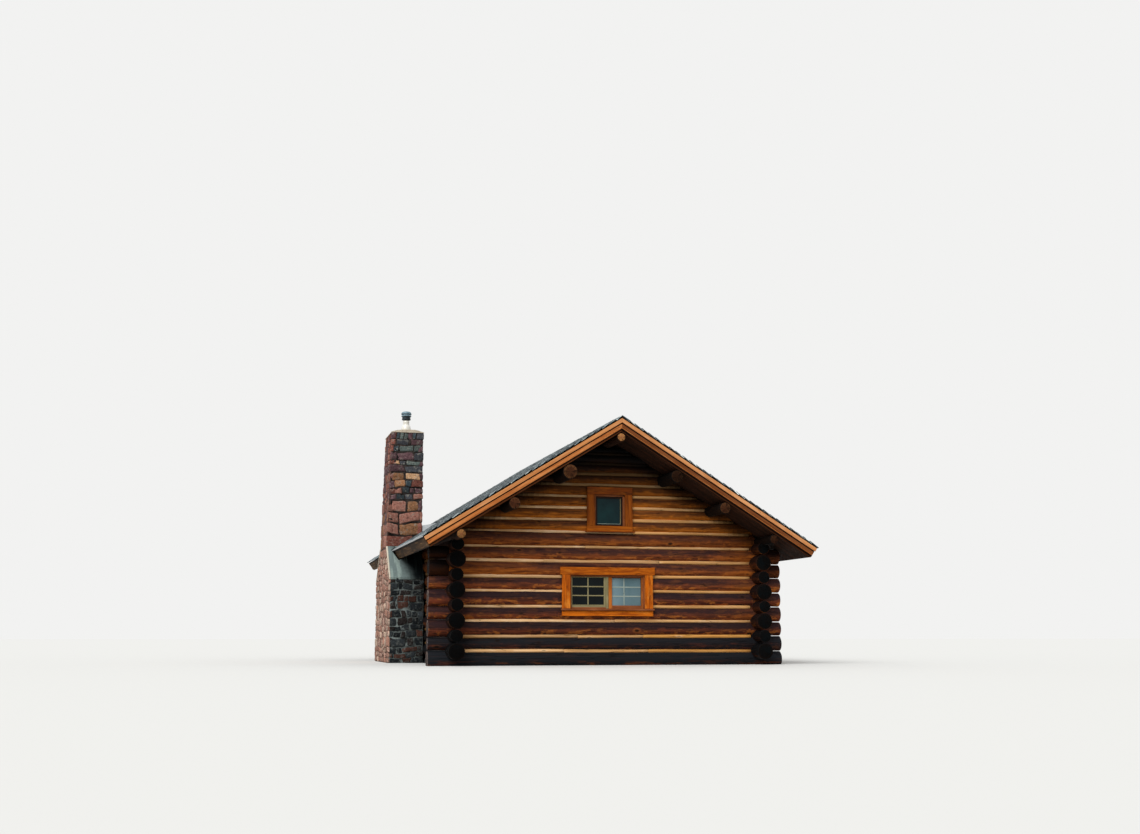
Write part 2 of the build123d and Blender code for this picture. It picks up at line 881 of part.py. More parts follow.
def build():
    low_window = (window_width, window_sill_height, window_height, True, casing_width, casing_head_width)
    high_window = (gable_window_width, gable_window_sill_height, gable_window_height, False,
                   gable_casing_width, gable_casing_head_width)
    front_window = window_set("front", window_offset, *low_window)
    back_window = window_set("back", window_offset, *low_window)
    side_window = window_set("right", side_window_place, *low_window)
    front_high = window_set("front", 0, *high_window)
    back_high = window_set("back", 0, *high_window)
    door = door_set()

    front_cuts = [front_window["cut"], front_high["cut"]]
    back_cuts = [back_window["cut"], back_high["cut"]]
    right_cuts = [side_window["cut"], door["cut"]]
    save("front_wall_logs", end_wall(0, front_cuts))
    save("back_wall_logs", end_wall(back_y, back_cuts))
    save("left_wall_logs", side_wall(-half_x, []))
    save("right_wall_logs", side_wall(half_x, right_cuts))
    save("side_sill_logs", [side_sill(-half_x), side_sill(half_x)])
    save("front_gable_logs", gable_wall(0, front_cuts))
    save("back_gable_logs", gable_wall(back_y, back_cuts))
    save("front_chinking", end_chinking(0, front_cuts))
    save("back_chinking", end_chinking(back_y, back_cuts))
    save("left_chinking", side_chinking(-half_x, []))
    save("right_chinking", side_chinking(half_x, right_cuts))

    save("ridge_pole", [ridge_pole()])
    save("purlins", purlins())
    save("wall_plates", [
        plate_log(side) - side_log(side_courses - 1, side * half_x, seat_gap) for side in (-1, 1)
    ])

    hole = chimney_hole()
    inside_barge = rake_trim_thickness + barge_thickness + board_gap
    for side, name in ((-1, "left"), (1, "right")):
        run = eave_run(side)
        inner_run = run - fascia_thickness
        save(f"{name}_roof_boards", [roof_layer(side, 0, roof_board_thickness, hole, inside_barge, run)])
        save(f"{name}_soffit", [roof_layer(side, soffit_top, soffit_bottom, hole, inside_barge, inner_run)])
        shingles = shingle_layer(side)
        save(f"{name}_shingles", [shingles - hole if side < 0 else shingles])
    save("ridge_cap", [ridge_cap()])
    save("rafters", rafters(hole))
    save("barge_boards", rake_pieces(0, barge_width, rake_trim_thickness + seat_gap,
                                     rake_trim_thickness + barge_thickness))
    save("rake_trims", rake_pieces(0, rake_trim_width, 0, rake_trim_thickness))
    save("eave_fascias", [eave_fascia(side, hole) for side in (-1, 1)])

    save("floor_sleepers", sleepers())
    save("room_floor", [room_floor()])
    save("loft_joists", loft_joists())
    save("loft_floor", [loft_floor()])

    lower = (front_window, back_window, side_window)
    upper = (front_high, back_high)
    save("window_casings", sum((window["casing"] + [window["apron"]] for window in lower), []))
    save("gable_window_casings", sum((window["casing"] + [window["apron"]] for window in upper), []))
    save("window_sills", [window["sill"] for window in lower + upper])
    save("window_frames", [window["frame"] for window in lower + upper])
    save("window_sashes", sum((window["sashes"] for window in lower + upper), []))
    save("window_glass", sum((window["glass"] for window in lower + upper), []))

    save("door_casing", door["casing"])
    save("door_frame", [door["frame"], door["threshold"]])
    save("door_leaf", [door["leaf"]] + door["ledges"])
    save("door_hardware", door_hardware())

    save("chimney_base", [chimney_base()])
    save("chimney_shoulders", [shoulder_wash(-1), shoulder_wash(1)])
    save("chimney_stack", [chimney_stack()])
    save("chimney_crown", [chimney_crown()])
    save("flue_collar", [flue_collar()])
    save("flue_cowl", [flue_cowl()])
    save("roof_flashing", [eave_sheet(hole), cricket()])


build()
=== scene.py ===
import bpy
import bmesh
import math
import random
from mathutils import Matrix, Vector, noise


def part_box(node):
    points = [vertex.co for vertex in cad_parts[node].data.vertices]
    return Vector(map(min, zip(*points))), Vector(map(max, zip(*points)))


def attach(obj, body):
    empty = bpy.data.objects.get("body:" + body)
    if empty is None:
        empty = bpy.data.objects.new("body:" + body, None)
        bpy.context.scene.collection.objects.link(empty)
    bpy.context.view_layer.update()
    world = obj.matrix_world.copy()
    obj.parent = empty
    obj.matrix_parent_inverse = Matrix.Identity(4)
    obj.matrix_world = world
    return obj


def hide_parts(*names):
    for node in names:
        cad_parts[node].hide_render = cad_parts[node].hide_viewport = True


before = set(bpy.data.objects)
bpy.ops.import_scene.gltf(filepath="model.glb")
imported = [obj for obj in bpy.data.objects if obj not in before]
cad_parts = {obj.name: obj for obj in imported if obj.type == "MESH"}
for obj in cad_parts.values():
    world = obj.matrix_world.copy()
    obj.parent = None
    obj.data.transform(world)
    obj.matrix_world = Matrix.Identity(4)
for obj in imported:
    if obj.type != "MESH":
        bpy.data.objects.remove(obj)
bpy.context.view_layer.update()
scene = bpy.context.scene
print("frame loaded:", len(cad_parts), "nodes")


def middleOf(node):
    low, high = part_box(node)
    return (low + high) / 2


# Numbers that several pieces share, in metres
plan = {
    "halfX": middleOf("right_wall_logs").x, "backY": middleOf("back_wall_logs").y,
    "crown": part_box("front_wall_logs")[1].x - middleOf("right_wall_logs").x,
    "pitch": 0.2584, "firstHeight": 0.1118, "sillExtra": 0.014, "thick": 0.131, "thin": 0.119,
    "endCourses": 9, "sideCourses": 8,
    "gableCourses": 7, "gablePitch": 0.220, "gableStep": 0.0065, "gableGap": 0.008,
}
roof = {
    "apex": 4.225, "rise": 0.617, "leftRun": 3.413, "rightRun": 3.562, "overhang": 0.022,
    "front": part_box("rake_trims")[0].y, "back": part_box("rake_trims")[1].y,
    "deck": 0.026, "rafter": 0.146, "soffit": 0.025, "edge": 0.001,
}
slopeLength = math.hypot(1.0, roof["rise"])
slopeCos = 1.0 / slopeLength
slopeSin = roof["rise"] / slopeLength
soffitDepth = roof["deck"] + roof["rafter"] + roof["soffit"]
up = Vector((0, 0, 1))
endWalls = ("front", "back")


def clamp(value, low=0.0, high=1.0):
    return min(max(value, low), high)


def hexColor(text):            # an sRGB hex value as linear light
    values = [int(text[i:i + 2], 16) / 255.0 for i in (0, 2, 4)]
    return [v / 12.92 if v <= 0.04045 else ((v + 0.055) / 1.055) ** 2.4 for v in values] + [1.0]


def operator(kind, swap=False):
    return lambda sig, other: sig.maths(kind, other, swap)


# Shader maths: one socket that can be added, multiplied and compared
class Sig:
    def __init__(self, paint, socket):
        self.paint = paint
        self.socket = socket

    def maths(self, kind, other=None, swap=False):
        values = [self] if other is None else [other, self] if swap else [self, other]
        return self.paint.node("ShaderNodeMath", {"operation": kind}, dict(enumerate(values)))

    def step(self, low, high):          # 0 below low, 1 above high, smooth between
        return self.paint.node("ShaderNodeMapRange", {"interpolation_type": "SMOOTHSTEP"},
                               {"Value": self, "From Min": low, "From Max": high})

    __add__ = __radd__ = operator("ADD")
    __sub__ = operator("SUBTRACT")
    __rsub__ = operator("SUBTRACT", True)
    __mul__ = __rmul__ = operator("MULTIPLY")
    __truediv__ = operator("DIVIDE")
    __pow__ = operator("POWER")


class Paint:
    def __init__(self, name, roughness, **sockets):
        self.material = bpy.data.materials.new(name)
        self.material.use_nodes = True
        self.tree = self.material.node_tree
        self.tree.nodes.clear()
        out = self.tree.nodes.new("ShaderNodeOutputMaterial")
        self.shader = self.tree.nodes.new("ShaderNodeBsdfPrincipled")
        self.tree.links.new(self.shader.outputs[0], out.inputs["Surface"])
        for key, value in {"Roughness": roughness, **sockets}.items():
            self.set(key.replace("_", " "), value)

    def set(self, key, value):
        self.plug(self.shader.inputs[key], value)

    def plug(self, socket, value):
        # a value is a socket, a number, a vector or a hex colour
        if isinstance(value, Sig):
            self.tree.links.new(value.socket, socket)
        else:
            socket.default_value = hexColor(value) if isinstance(value, str) else value

    def node(self, kind, settings, inputs, out=0):
        made = self.tree.nodes.new(kind)
        for key, value in settings.items():
            setattr(made, key, value)
        for key, value in inputs.items():
            self.plug(made.inputs[key], value)
        return Sig(self, made.outputs[out])

    def attribute(self, name, out="Fac"):
        return self.node("ShaderNodeAttribute", {"attribute_name": name}, {}, out)

    def place(self):
        return self.node("ShaderNodeTexCoord", {}, {}, "Object")

    def split(self, vector, axis):
        return self.node("ShaderNodeSeparateXYZ", {}, {"Vector": vector}, axis)

    def stretch(self, vector, *scale):
        # the last of the numbers also stands for those that are left out
        return self.node("ShaderNodeMapping", {}, {"Vector": vector, "Scale": (*scale, scale[-1])[:3]})

    def noise(self, vector, scale, detail=3.0, rough=0.5):
        return self.node("ShaderNodeTexNoise", {},
                         {"Vector": vector, "Scale": scale, "Detail": detail, "Roughness": rough})

    def mix(self, share, first, second, blend="MIX"):
        made = self.tree.nodes.new("ShaderNodeMix")
        made.data_type = "RGBA"
        made.blend_type = blend
        for number, value in ((0, share), (6, first), (7, second)):
            self.plug(made.inputs[number], value)
        return Sig(self, made.outputs[2])

    def cover(self, color, *coats):
        # each coat is its share and its colour, laid over what is there
        for share, value in coats:
            color = self.mix(share, color, value)
        return color

    def finish(self, color, light, height, depth):
        # the colour times a grey value, over a bump of this height and depth
        grey = self.node("ShaderNodeCombineColor", {}, dict.fromkeys(range(3), light))
        self.set("Base Color", self.mix(1.0, color, grey, "MULTIPLY"))
        self.set("Normal", self.node("ShaderNodeBump", {}, {"Height": height, "Distance": depth}))
        return self.material


# Wood: every board and log carries its own grain coordinates, x along the fibres and z upwards from its axis,
# a tint, and a hue that turns its colour towards the warm one
def woodPaint(name, look):
    paint = Paint(name, look["roughness"], Specular_IOR_Level=look["specular"])
    grain, tint, hue = paint.attribute("grain", "Vector"), paint.attribute("tint"), paint.attribute("hue")
    warmth = hue.maths("MAXIMUM", 0.0)
    streaks = paint.noise(paint.stretch(grain, *look["streak"]), 1.0, 6.0, 0.7)
    fibres = paint.noise(paint.stretch(grain, 6.0, 170.0), 1.0, 3.0, 0.6)
    patches = paint.noise(paint.stretch(grain, *look["patch"]), 1.0, 4.0, 0.65)
    warm = paint.mix(streaks.step(0.36, 0.64), look["warmDark"], look["warm"])
    knotSpot = paint.node("ShaderNodeTexVoronoi", {},
                          {"Vector": paint.stretch(grain, *look["knotScale"]), "Scale": 1.0}, "Distance")
    knot, halo = 1.0 - knotSpot.step(0.05, 0.12), 1.0 - knotSpot.step(0.10, 0.22)
    coats = [(streaks.step(0.38, 0.62), look["mid"]), (patches.step(0.50, 0.64) * look["patches"], look["light"]),
             (warmth * look["warmth"], warm), (halo * look["knots"] * 0.45, look["light"])]
    if "weather" in look:
        # the upper part of each log is darker, and the soot and shade colour marks the lowest wall logs with soot and
        # the top gable logs with painted shade under the roof
        edge = paint.split(grain, 2) + (patches - 0.5) * 0.20 + (streaks - 0.5) * 0.20
        soot = (hue * -1.0).step(0.0, 1.0) * (1.0 - 0.34 * streaks.step(0.50, 0.62))
        coats += [(edge.step(*look["edge"]) * (0.95 - 0.35 * warmth), look["weather"]), (soot, look["soot"])]
    # the lower part of each chink pole turns to the darker rim colour, painted shade under its bulge
    if "rim" in look:
        coats.append(((1.0 - paint.split(grain, 2).step(-0.034, -0.010)) * 0.8, look["rim"]))
    color = paint.cover(look["dark"], *coats, (knot * look["knots"], look["knot"]))
    checks = paint.noise(paint.stretch(grain, 0.55, 12.0), 1.0, 2.0, 0.4)
    crack = (checks - 0.5).maths("ABSOLUTE").step(0.0, look["check"])
    light = fibres * look["fibre"] + (1.0 - 0.5 * look["fibre"])
    light = light * (0.35 + 0.65 * crack) * tint
    if "butt" in look:
        # painted shadow: each shingle darkens just under the butt of the course above
        light = light * (0.50 + 0.50 * paint.split(grain, 0).step(-look["butt"], -look["butt"] + 0.035))
    paint.set("Roughness", look["roughness"] - 0.12 * streaks)
    return paint.finish(color, light, fibres * 0.3 + streaks * 0.5 + crack * 0.9 + patches * 0.6, look["bump"])


def endGrainPaint(name, look):
    paint = Paint(name, 0.9, Specular_IOR_Level=0.06)
    grain, tint = paint.attribute("grain", "Vector"), paint.attribute("tint")
    wobble = paint.noise(grain, 9.0, 2.0)
    y, z = paint.split(grain, 1), paint.split(grain, 2)
    radius = (y * y + z * z) ** 0.5
    rings = ((radius + wobble * 0.02) * 2.0 * math.pi / look["ring"]).maths("SINE")
    angle = y.maths("ARCTAN2", z)
    rays = paint.node("ShaderNodeTexNoise", {"noise_dimensions": "1D"},
                      {"W": angle * 2.2 + paint.split(grain, 0) * 0.03, "Scale": 1.6, "Detail": 3.0})
    check = (rays - 0.5).maths("ABSOLUTE").step(0.0, look["check"])
    coats = [(rings * 0.35 + 0.5, look["light"]), (wobble.step(0.40, 0.70) * 0.7, look["stain"]),
             (radius.step(look["bark"] - 0.012, look["bark"]) * 0.8, look["rim"])]
    if "fresh" in look:
        coats.append((tint.step(1.4, 1.7) * radius.step(0.012, 0.030) * 0.8, look["fresh"]))
    color = paint.cover(look["dark"], *coats, ((1.0 - check) * radius.step(0.005, 0.05), look["crack"]))
    return paint.finish(color, tint, rings * 0.2 + check, 0.004)


def named(keys, text, **more):
    return {**dict(zip(keys.split(), text.split())), **more}


# Each wood by its dark, mid, light and knot colours, and by what differs from the common values
def wood(text, **more):
    colors = named("dark mid light knot", text)
    return {"warmDark": colors["mid"], "warm": colors["light"], "warmth": 0.8, "roughness": 0.8, "specular": 0.1,
            "streak": (1.3, 20.0), "patch": (2.6, 10.0), "patches": 0.6, "knotScale": (1.9, 5.6), "knots": 0.6,
            "check": 0.006, "fibre": 0.5, "bump": 0.004, **colors, **more}


sash = {"patches": 0.3, "knots": 0.1, "fibre": 0.2, "bump": 0.0008}
woodLooks = {
    "log": wood("42241d 783b24 bc6c2e 150a07", warmDark="743811", warm="ba6820", weather="23171a", soot="15181c",
                edge=(-0.040, 0.025), patches=0.85, bump=0.006, roughness=0.78, check=0.010, knots=0.9,
                knotScale=(2.0, 3.6), patch=(5.0, 11.0), streak=(2.0, 20.0)),
    "gableLog": wood("5c2e0c a45a1a cc7a26 1e0e06", warmDark="6e3a0e", warm="ca7622", weather="1c1114", soot="101619",
                     edge=(-0.045, 0.025), patches=0.7, bump=0.005, roughness=0.78, check=0.009, knots=0.9,
                     knotScale=(2.0, 3.6), patch=(4.0, 10.0)),
    "chink": wood("d0a06c eac090 f4d8b2 5a3818", warmDark="a46e34", warm="d69c52", rim="9c6a30", warmth=1.0,
                  patches=0.5, knotScale=(2.2, 9.0), bump=0.003, streak=(0.9, 34.0), fibre=0.35),
    "pole": wood("110a07 22130c 342015 0c0604"),
    "rake": wood("c88450 dc9a64 e8b084 7c431d", warmDark="b06a34", warm="d08846", patches=0.5, knotScale=(0.9, 9.0),
                 fibre=0.3, bump=0.0015),
    "barge": wood("9a5828 b4703a c88a54 5d3116", warmDark="96502a", warm="bc6c3c", patches=0.5, knots=0.4, fibre=0.3,
                  bump=0.0015),
    "groove": wood("140a06 26120a 3c1e10 0c0503", patches=0.4, bump=0.001),
    "soffit": wood("0e0805 1f110b 321c11 0a0503", patches=0.5, bump=0.002),
    "shingle": wood("343d42 748288 d2dcda 22272a", patches=1.0, knots=0.2, fibre=0.8, bump=0.003, roughness=0.9,
                    specular=0.2, patch=(5.0, 26.0), butt=0.148),
    "casing": wood("984406 d66a0a f29a38 5c2806", warmDark="984406", warm="dc7410", patches=0.75, fibre=0.45,
                   bump=0.0012, roughness=0.6, streak=(2.2, 24.0)),
    "gableCasing": wood("5c2a08 88400a a65a12 301406", warmDark="94480a", warm="c46a12", patches=0.5, knots=0.3,
                        fibre=0.3, bump=0.0012, roughness=0.65),
    "sashBrown": wood("6c3a1e 945632 aa6c46 2a120a", **sash),
    "sashOrange": wood("a0561e c4722e d08a44 4a220e", **sash),
    "sashDark": wood("1e1512 33211a 4a332a 150d0a", **sash),
    "sashKhaki": wood("7c7452 968d68 aaa27e 4c4428", **sash),
    "muntin": wood("86948c 99a69c aab4a8 86948c", patches=0.3, knots=0.0, fibre=0.1, bump=0.0005),
}
finishes = {name: woodPaint(name + "Wood", look) for name, look in woodLooks.items()}
# endGrainDark, on the side-wall and gable log ends, is near black: dark stained wood, darkened further as painted
# shade of the roof's overhang
endLooks = {
    "endGrainDark": ("0e1518 261b16 040606 142226 2c1e16", {"ring": 0.011, "bark": 0.118, "check": 0.022}),
    "endGrainGrey": ("3a3230 574c48 1a1413 4a4140 6a5c55", {"ring": 0.011, "bark": 0.118, "check": 0.022}),
    "endGrainWarm": ("5c3420 8a5a38 26130c 6a3a26 90603a 7c5630", {"ring": 0.016, "bark": 0.09, "check": 0.04}),
}
for name, (text, more) in endLooks.items():
    finishes[name] = endGrainPaint(name, named("dark light crack stain rim fresh", text, **more))
print("wood finishes made:", len(finishes))


def masonryPaint(name, palette, lichen, mark=None):
    # the hue picks each stone's colour from the palette. With a mark, its paler half, painted light, is only for the
    # outer face, and the darker half on the other faces is partly dark stone and partly painted shade
    paint = Paint(name, 0.9, Specular_IOR_Level=0.12)
    place, tint, hue = paint.place(), paint.attribute("tint"), paint.attribute("hue")
    if mark is not None:
        hue = hue + (paint.split(place, 0).step(mark, mark + 0.012) - hue.step(0.49, 0.51)) * 0.5
    speck = paint.noise(place, 38.0, 5.0, 0.8)
    cloud = paint.noise(place, 15.0, 5.0, 0.75)
    first, *others = palette.split()
    steps = [(number / (len(others) + 1), value) for number, value in enumerate(others, 1)]
    color = paint.cover(first, *[(hue.step(share - 0.03, share + 0.03), value) for share, value in steps],
                        (cloud.step(0.52, 0.66) * 0.65, lichen), ((1.0 - cloud.step(0.30, 0.46)) * 0.6, "2a2224"))
    return paint.finish(color, (speck * 3.2 - 0.6).maths("MAXIMUM", 0.12) * tint, speck + cloud * 1.6, 0.010)


def plainPaint(name, dark, light, scale, depth, roughness=0.85, metallic=0.0):
    paint = Paint(name, roughness, Metallic=metallic)
    place = paint.place()
    cloud, speck = paint.noise(place, scale, 5.0, 0.6), paint.noise(place, scale * 9.0, 3.0, 0.6)
    return paint.finish(paint.mix(cloud.step(0.3, 0.7), dark, light), 0.8 + 0.4 * speck, cloud + speck * 0.4, depth)


def mortarPaint(name, front, side, mark):
    # one colour on the outer face and another on the faces that look along the wall: the outer one lighter as painted
    # light, the others darker as painted shade
    paint = Paint(name, 0.95, Specular_IOR_Level=0.2)
    place = paint.place()
    cloud = paint.noise(place, 7.0, 5.0, 0.7)
    outer = 1.0 - paint.split(place, 0).step(mark, mark + 0.012)
    return paint.finish(paint.mix(outer, front, side), (cloud * 5.6 - 2.0).maths("MAXIMUM", 0.12), cloud, 0.006)


def cementPaint(name):
    # a smooth coat, pale at its outer edge, dark near the wall from soot and towards the top as painted shade of the
    # eave, with washed streaks down it
    paint = Paint(name, 0.85, Specular_IOR_Level=0.12)
    place = paint.place()
    x = paint.split(place, 0)
    cloud, speck = paint.noise(place, 3.2, 4.0, 0.6), paint.noise(place, 26.0, 3.0, 0.6)
    runs = paint.noise(paint.stretch(place, 9.0, 0.8), 1.0, 3.0, 0.5)
    # this mask is soot near the wall and, rising with height, painted shade of the eave
    soot = (x + (cloud - 0.5) * 0.28 + (paint.split(place, 2) - 1.85) * 0.5).step(-3.36, -3.10)
    color = paint.cover("707e7c", (soot, "0e1517"), (runs.step(0.54, 0.62) * 0.55, "9fb0a8"),
                        ((1.0 - runs.step(0.34, 0.44)) * 0.5, "3a4644"), (1.0 - x.step(-3.545, -3.515), "d8cdb8"))
    return paint.finish(color, 0.75 + 0.5 * speck, cloud + speck * 0.3, 0.004)


def panePaint(name, dark, light, roughness, mark=None):
    paint = Paint(name, roughness, Specular_IOR_Level=0.12)
    place = paint.place()
    cloud = paint.noise(place, 2.2, 3.0, 0.5)
    share = cloud.step(0.35, 0.65)
    if mark:
        share = share * 0.35 + 0.65 * (1.0 - paint.split(place, 0).step(*mark))
    fine = paint.noise(place, 60.0, 2.0, 0.5)
    return paint.finish(paint.mix(share, dark, light), 0.92 + 0.16 * fine, cloud, 0.0004)


# the kind of paint, the finish's name, then its colours and numbers
for paintKind, name, *values in (
        (masonryPaint, "stone", "9a6a5c 986c4c 845044 62484c 45474c 3a454a 58625e b8906c", "9a9488"),
        (masonryPaint, "baseStone", "b89484 ac7e6c 987264 c8ae9a 1c2124 2e2826 4c3128 363c3f", "6c6e6a", -3.530),
        (mortarPaint, "stackMortar", "3c3430", "6a5048", -3.49),
        (mortarPaint, "baseMortar", "6a7270", "8e7466", -3.537),
        (plainPaint, "crownMortar", "a89a86", "cfc2ac", 14.0, 0.004),
        (cementPaint, "cement"),
        (plainPaint, "dullSheet", "6c7780", "98a4ae", 4.0, 0.001, 0.5, 0.35),
        (plainPaint, "paleSheet", "b2b6b8", "d0d3d4", 5.0, 0.001, 0.5, 0.2),
        (plainPaint, "flueSheet", "d4d2ca", "efece2", 6.0, 0.0006, 0.45, 0.1),
        (plainPaint, "cowlSheet", "10181e", "26343c", 9.0, 0.0008, 0.5, 0.3),
        (plainPaint, "ringSheet", "5c7682", "93aab4", 16.0, 0.0008, 0.5, 0.2),
        (plainPaint, "blackIron", "17171a", "2a2a2d", 30.0, 0.0006, 0.5, 0.6),
        (panePaint, "windowGlass", "050a0b", "0a1213", 0.16),
        (panePaint, "windowScreen", "506a70", "7a929a", 0.6, (0.05, 0.34)),
        (panePaint, "gableGlass", "0b2226", "123436", 0.2)):
    finishes[name] = paintKind(name, *values)


def putIn(name, data):
    made = bpy.data.objects.new(name, data)
    scene.collection.objects.link(made)
    return made


# A pile gathers like parts in one mesh, with grain, tint and hue on them
class Pile:
    def __init__(self, name, finishNames, slotName, *nodes):
        self.name, self.slotName, self.nodes = name, slotName, nodes
        self.mesh = bpy.data.meshes.new(name)
        for finish in finishNames.split():
            self.mesh.materials.append(finishes[finish])
        self.bm = bmesh.new()

    def start(self, node=None):
        # an empty part, or a CAD node's own solid
        part = bmesh.new()
        if node:
            part.from_mesh(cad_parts[node].data)
            bmesh.ops.remove_doubles(part, verts=part.verts, dist=0.00005)
        part.verts.layers.float_vector.new("grain")
        for name in ("tint", "hue"):
            part.faces.layers.float.new(name)
        return part

    def cube(self, size, middle):
        part = self.start()
        bmesh.ops.create_cube(part, size=1.0)
        bmesh.ops.scale(part, vec=size, verts=part.verts)
        bmesh.ops.translate(part, vec=middle, verts=part.verts)
        return part

    def add(self, part, basis=Matrix.Identity(4), tint=1.0, hue=0.0, shift=(0, 0, 0), look=None):
        # basis turns the part's own axes (x along the grain) into the world, and shift moves its grain. A look is a
        # finish's place in the pile
        grain = part.verts.layers.float_vector["grain"]
        shift = Vector(shift)
        for vert in part.verts:
            vert[grain] = vert.co + shift
        layers = part.faces.layers.float
        for face in part.faces:
            middle = face.calc_center_median()
            for layer, value in ((layers["tint"], tint), (layers["hue"], hue)):
                face[layer] = value(middle.x) if callable(value) else value
            if look is not None:
                face.material_index = look(middle) if callable(look) else look
        bmesh.ops.transform(part, matrix=basis, verts=part.verts)
        part.to_mesh(self.mesh)
        self.bm.from_mesh(self.mesh)
        part.free()

    def done(self, smooth):
        self.bm.to_mesh(self.mesh)
        self.bm.free()
        piece = putIn(self.name, self.mesh)
        if smooth:
            self.mesh.shade_smooth()
            self.mesh.set_sharp_from_angle(angle=math.radians(smooth))
        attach(piece, "root")
        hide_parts(*self.nodes)
        print("made", self.name, len(self.mesh.polygons), "faces")


def trim(part, basis, planes):
    # cuts away what lies beyond each (point, normal) plane, given in the world
    back = basis.inverted()
    for point, normal in planes:
        cut = bmesh.ops.bisect_plane(part, geom=part.verts[:] + part.edges[:] + part.faces[:], plane_co=back @ point,
                                     plane_no=(back.to_3x3() @ normal).normalized(), clear_outer=True)
        edges = [e for e in cut["geom_cut"] if isinstance(e, bmesh.types.BMEdge)]
        if edges:
            bmesh.ops.holes_fill(part, edges=edges, sides=0)


def basisFrom(origin, along, across, upward):
    return Matrix.Translation(origin) @ Matrix((along, across, upward)).transposed().to_4x4()


# One wall's own axes: a along the wall, o outwards from the log centres, z up
class Wall:
    def __init__(self, origin, along, out):
        self.origin, self.along, self.out = Vector(origin), Vector(along), Vector(out)
        self.across = up.cross(self.along)

    def at(self, a, o, z):
        return self.origin + self.along * a + self.out * o + up * z

    def basis(self, a, o, z):
        return basisFrom(self.at(a, o, z), self.along, self.across, up)


walls = {
    "front": Wall((0, 0, 0), (1, 0, 0), (0, -1, 0)),
    "back": Wall((0, plan["backY"], 0), (-1, 0, 0), (0, 1, 0)),
    "right": Wall((plan["halfX"], 0, 0), (0, 1, 0), (1, 0, 0)),
    "left": Wall((-plan["halfX"], 0, 0), (0, 1, 0), (-1, 0, 0)),
}
logShape = {"sides": 26, "ring": 0.085, "taper": 0.011, "bow": 0.008, "wobble": 0.006, "endBevel": 0.006,
            "knotBump": 0.007, "knotLength": 0.06, "knotTurn": 0.38, "knotsPerMetre": 1.3}


def shapeLog(part, length, lowRadius, highRadius, rng, sides, ring, knots, lively=1.0):
    # a tapered log with its axis on x, from 0 to length
    bmesh.ops.create_cone(part, cap_ends=True, segments=sides, radius1=lowRadius, radius2=highRadius, depth=length)
    bmesh.ops.rotate(part, verts=part.verts, matrix=Matrix.Rotation(math.radians(90), 3, "Y"))
    bmesh.ops.translate(part, verts=part.verts, vec=(length / 2, 0, 0))
    longEdges = [e for e in part.edges if abs(e.verts[0].co.x - e.verts[1].co.x) > length * 0.5]
    bmesh.ops.subdivide_edges(part, edges=longEdges, cuts=max(1, round(length / ring) - 1), use_grid_fill=True)
    caps = [f for f in part.faces if len(f.verts) > 4]
    for cap in caps:
        cap.material_index = 1
    bevelled = bmesh.ops.inset_region(part, faces=caps, thickness=logShape["endBevel"], depth=0.0)["faces"]
    for face in caps:
        for vert in face.verts:
            vert.co.x += (-logShape["endBevel"] if vert.co.x < length / 2 else logShape["endBevel"]) * 0.7
    for face in bevelled:
        face.material_index = 0
    seed = Vector([rng.uniform(0, 50) for _ in range(3)])
    spots = [(rng.uniform(0.1, 0.9) * length, rng.uniform(0, 2 * math.pi), rng.uniform(0.5, 1.0))
             for _ in range(knots)]
    for vert in part.verts:
        x = vert.co.x
        radial = Vector((0.0, vert.co.y, vert.co.z))
        if radial.length < 1e-6:
            continue
        unit = radial.normalized()
        low = noise.noise(Vector((x * 0.9, unit.y * 0.8, unit.z * 0.8)) + seed)
        fine = noise.noise(Vector((x * 4.0, unit.y * 2.2, unit.z * 2.2)) + seed * 2)
        swell = logShape["wobble"] * lively * (low * 1.3 + fine * 0.6)
        angle = math.atan2(unit.z, unit.y)
        for place, turn, size in spots:
            far = math.hypot((x - place) / logShape["knotLength"],
                             math.atan2(math.sin(angle - turn), math.cos(angle - turn)) / logShape["knotTurn"])
            if far < 2.5:
                swell += logShape["knotBump"] * size * math.exp(-far * far)
        vert.co += unit * swell
        vert.co.y += logShape["bow"] * lively * noise.noise(Vector((x * 0.35, 3.1, 0)) + seed)
        vert.co.z += logShape["bow"] * lively * noise.noise(Vector((x * 0.35, 9.7, 0)) + seed)
    return seed


def press(part, basis, limits):
    # hews flats: a vertex inside a box is moved to the box's face. limits are (low, high, axis, value) in the world
    back = basis.inverted()
    for vert in part.verts:
        place = basis @ vert.co
        for low, high, axis, value in limits:
            if all(low[i] <= place[i] <= high[i] for i in range(3)):
                place[axis] = value
        vert.co = back @ place


# Openings in the walls: middle along the wall, clear width between casings, and heights
openings = {
    "front": [
        {"kind": "pair", "middle": -0.042, "width": 1.360, "low": 0.975, "high": 1.560},
        {"kind": "single", "middle": 0.0, "width": 0.556, "low": 2.423, "high": 2.976},
    ],
    "right": [
        {"kind": "door", "middle": 1.750, "width": 0.860, "low": 0.186, "high": 1.966},
        {"kind": "pair", "middle": 4.700, "width": 1.360, "low": 0.975, "high": 1.560},
    ],
    "left": [],
}
openings["back"] = openings["front"]
casingSize = {
    "pair": {"side": 0.145, "head": 0.132, "ear": 0.034, "apron": 0.098, "sill": 0.034, "over": 0.017},
    "single": {"side": 0.138, "head": 0.134, "ear": 0.0, "apron": 0.094, "sill": 0.020, "over": 0.034},
    "door": {"side": 0.124, "head": 0.124, "ear": 0.034, "apron": 0.0, "sill": 0.0, "over": 0.0},
}
joinery = {"flat": 0.104, "casing": 0.040, "frame": 0.040, "reveal": 0.030, "sillOut": 0.034, "sash": 0.036,
           "setback": 0.026, "mullion": 0.044, "mullionBack": 0.014, "bar": 0.020, "joint": 0.001}
# Flats on the logs past a casing and past a frame, their reach, and the least stretch of log that is kept
hew = {"side": 0.02, "end": 0.01, "frame": 0.004, "under": 0.045, "over": 0.012, "reach": 0.15, "gap": 0.006,
       "lap": 0.05, "least": 0.05, "depth": 0.3}


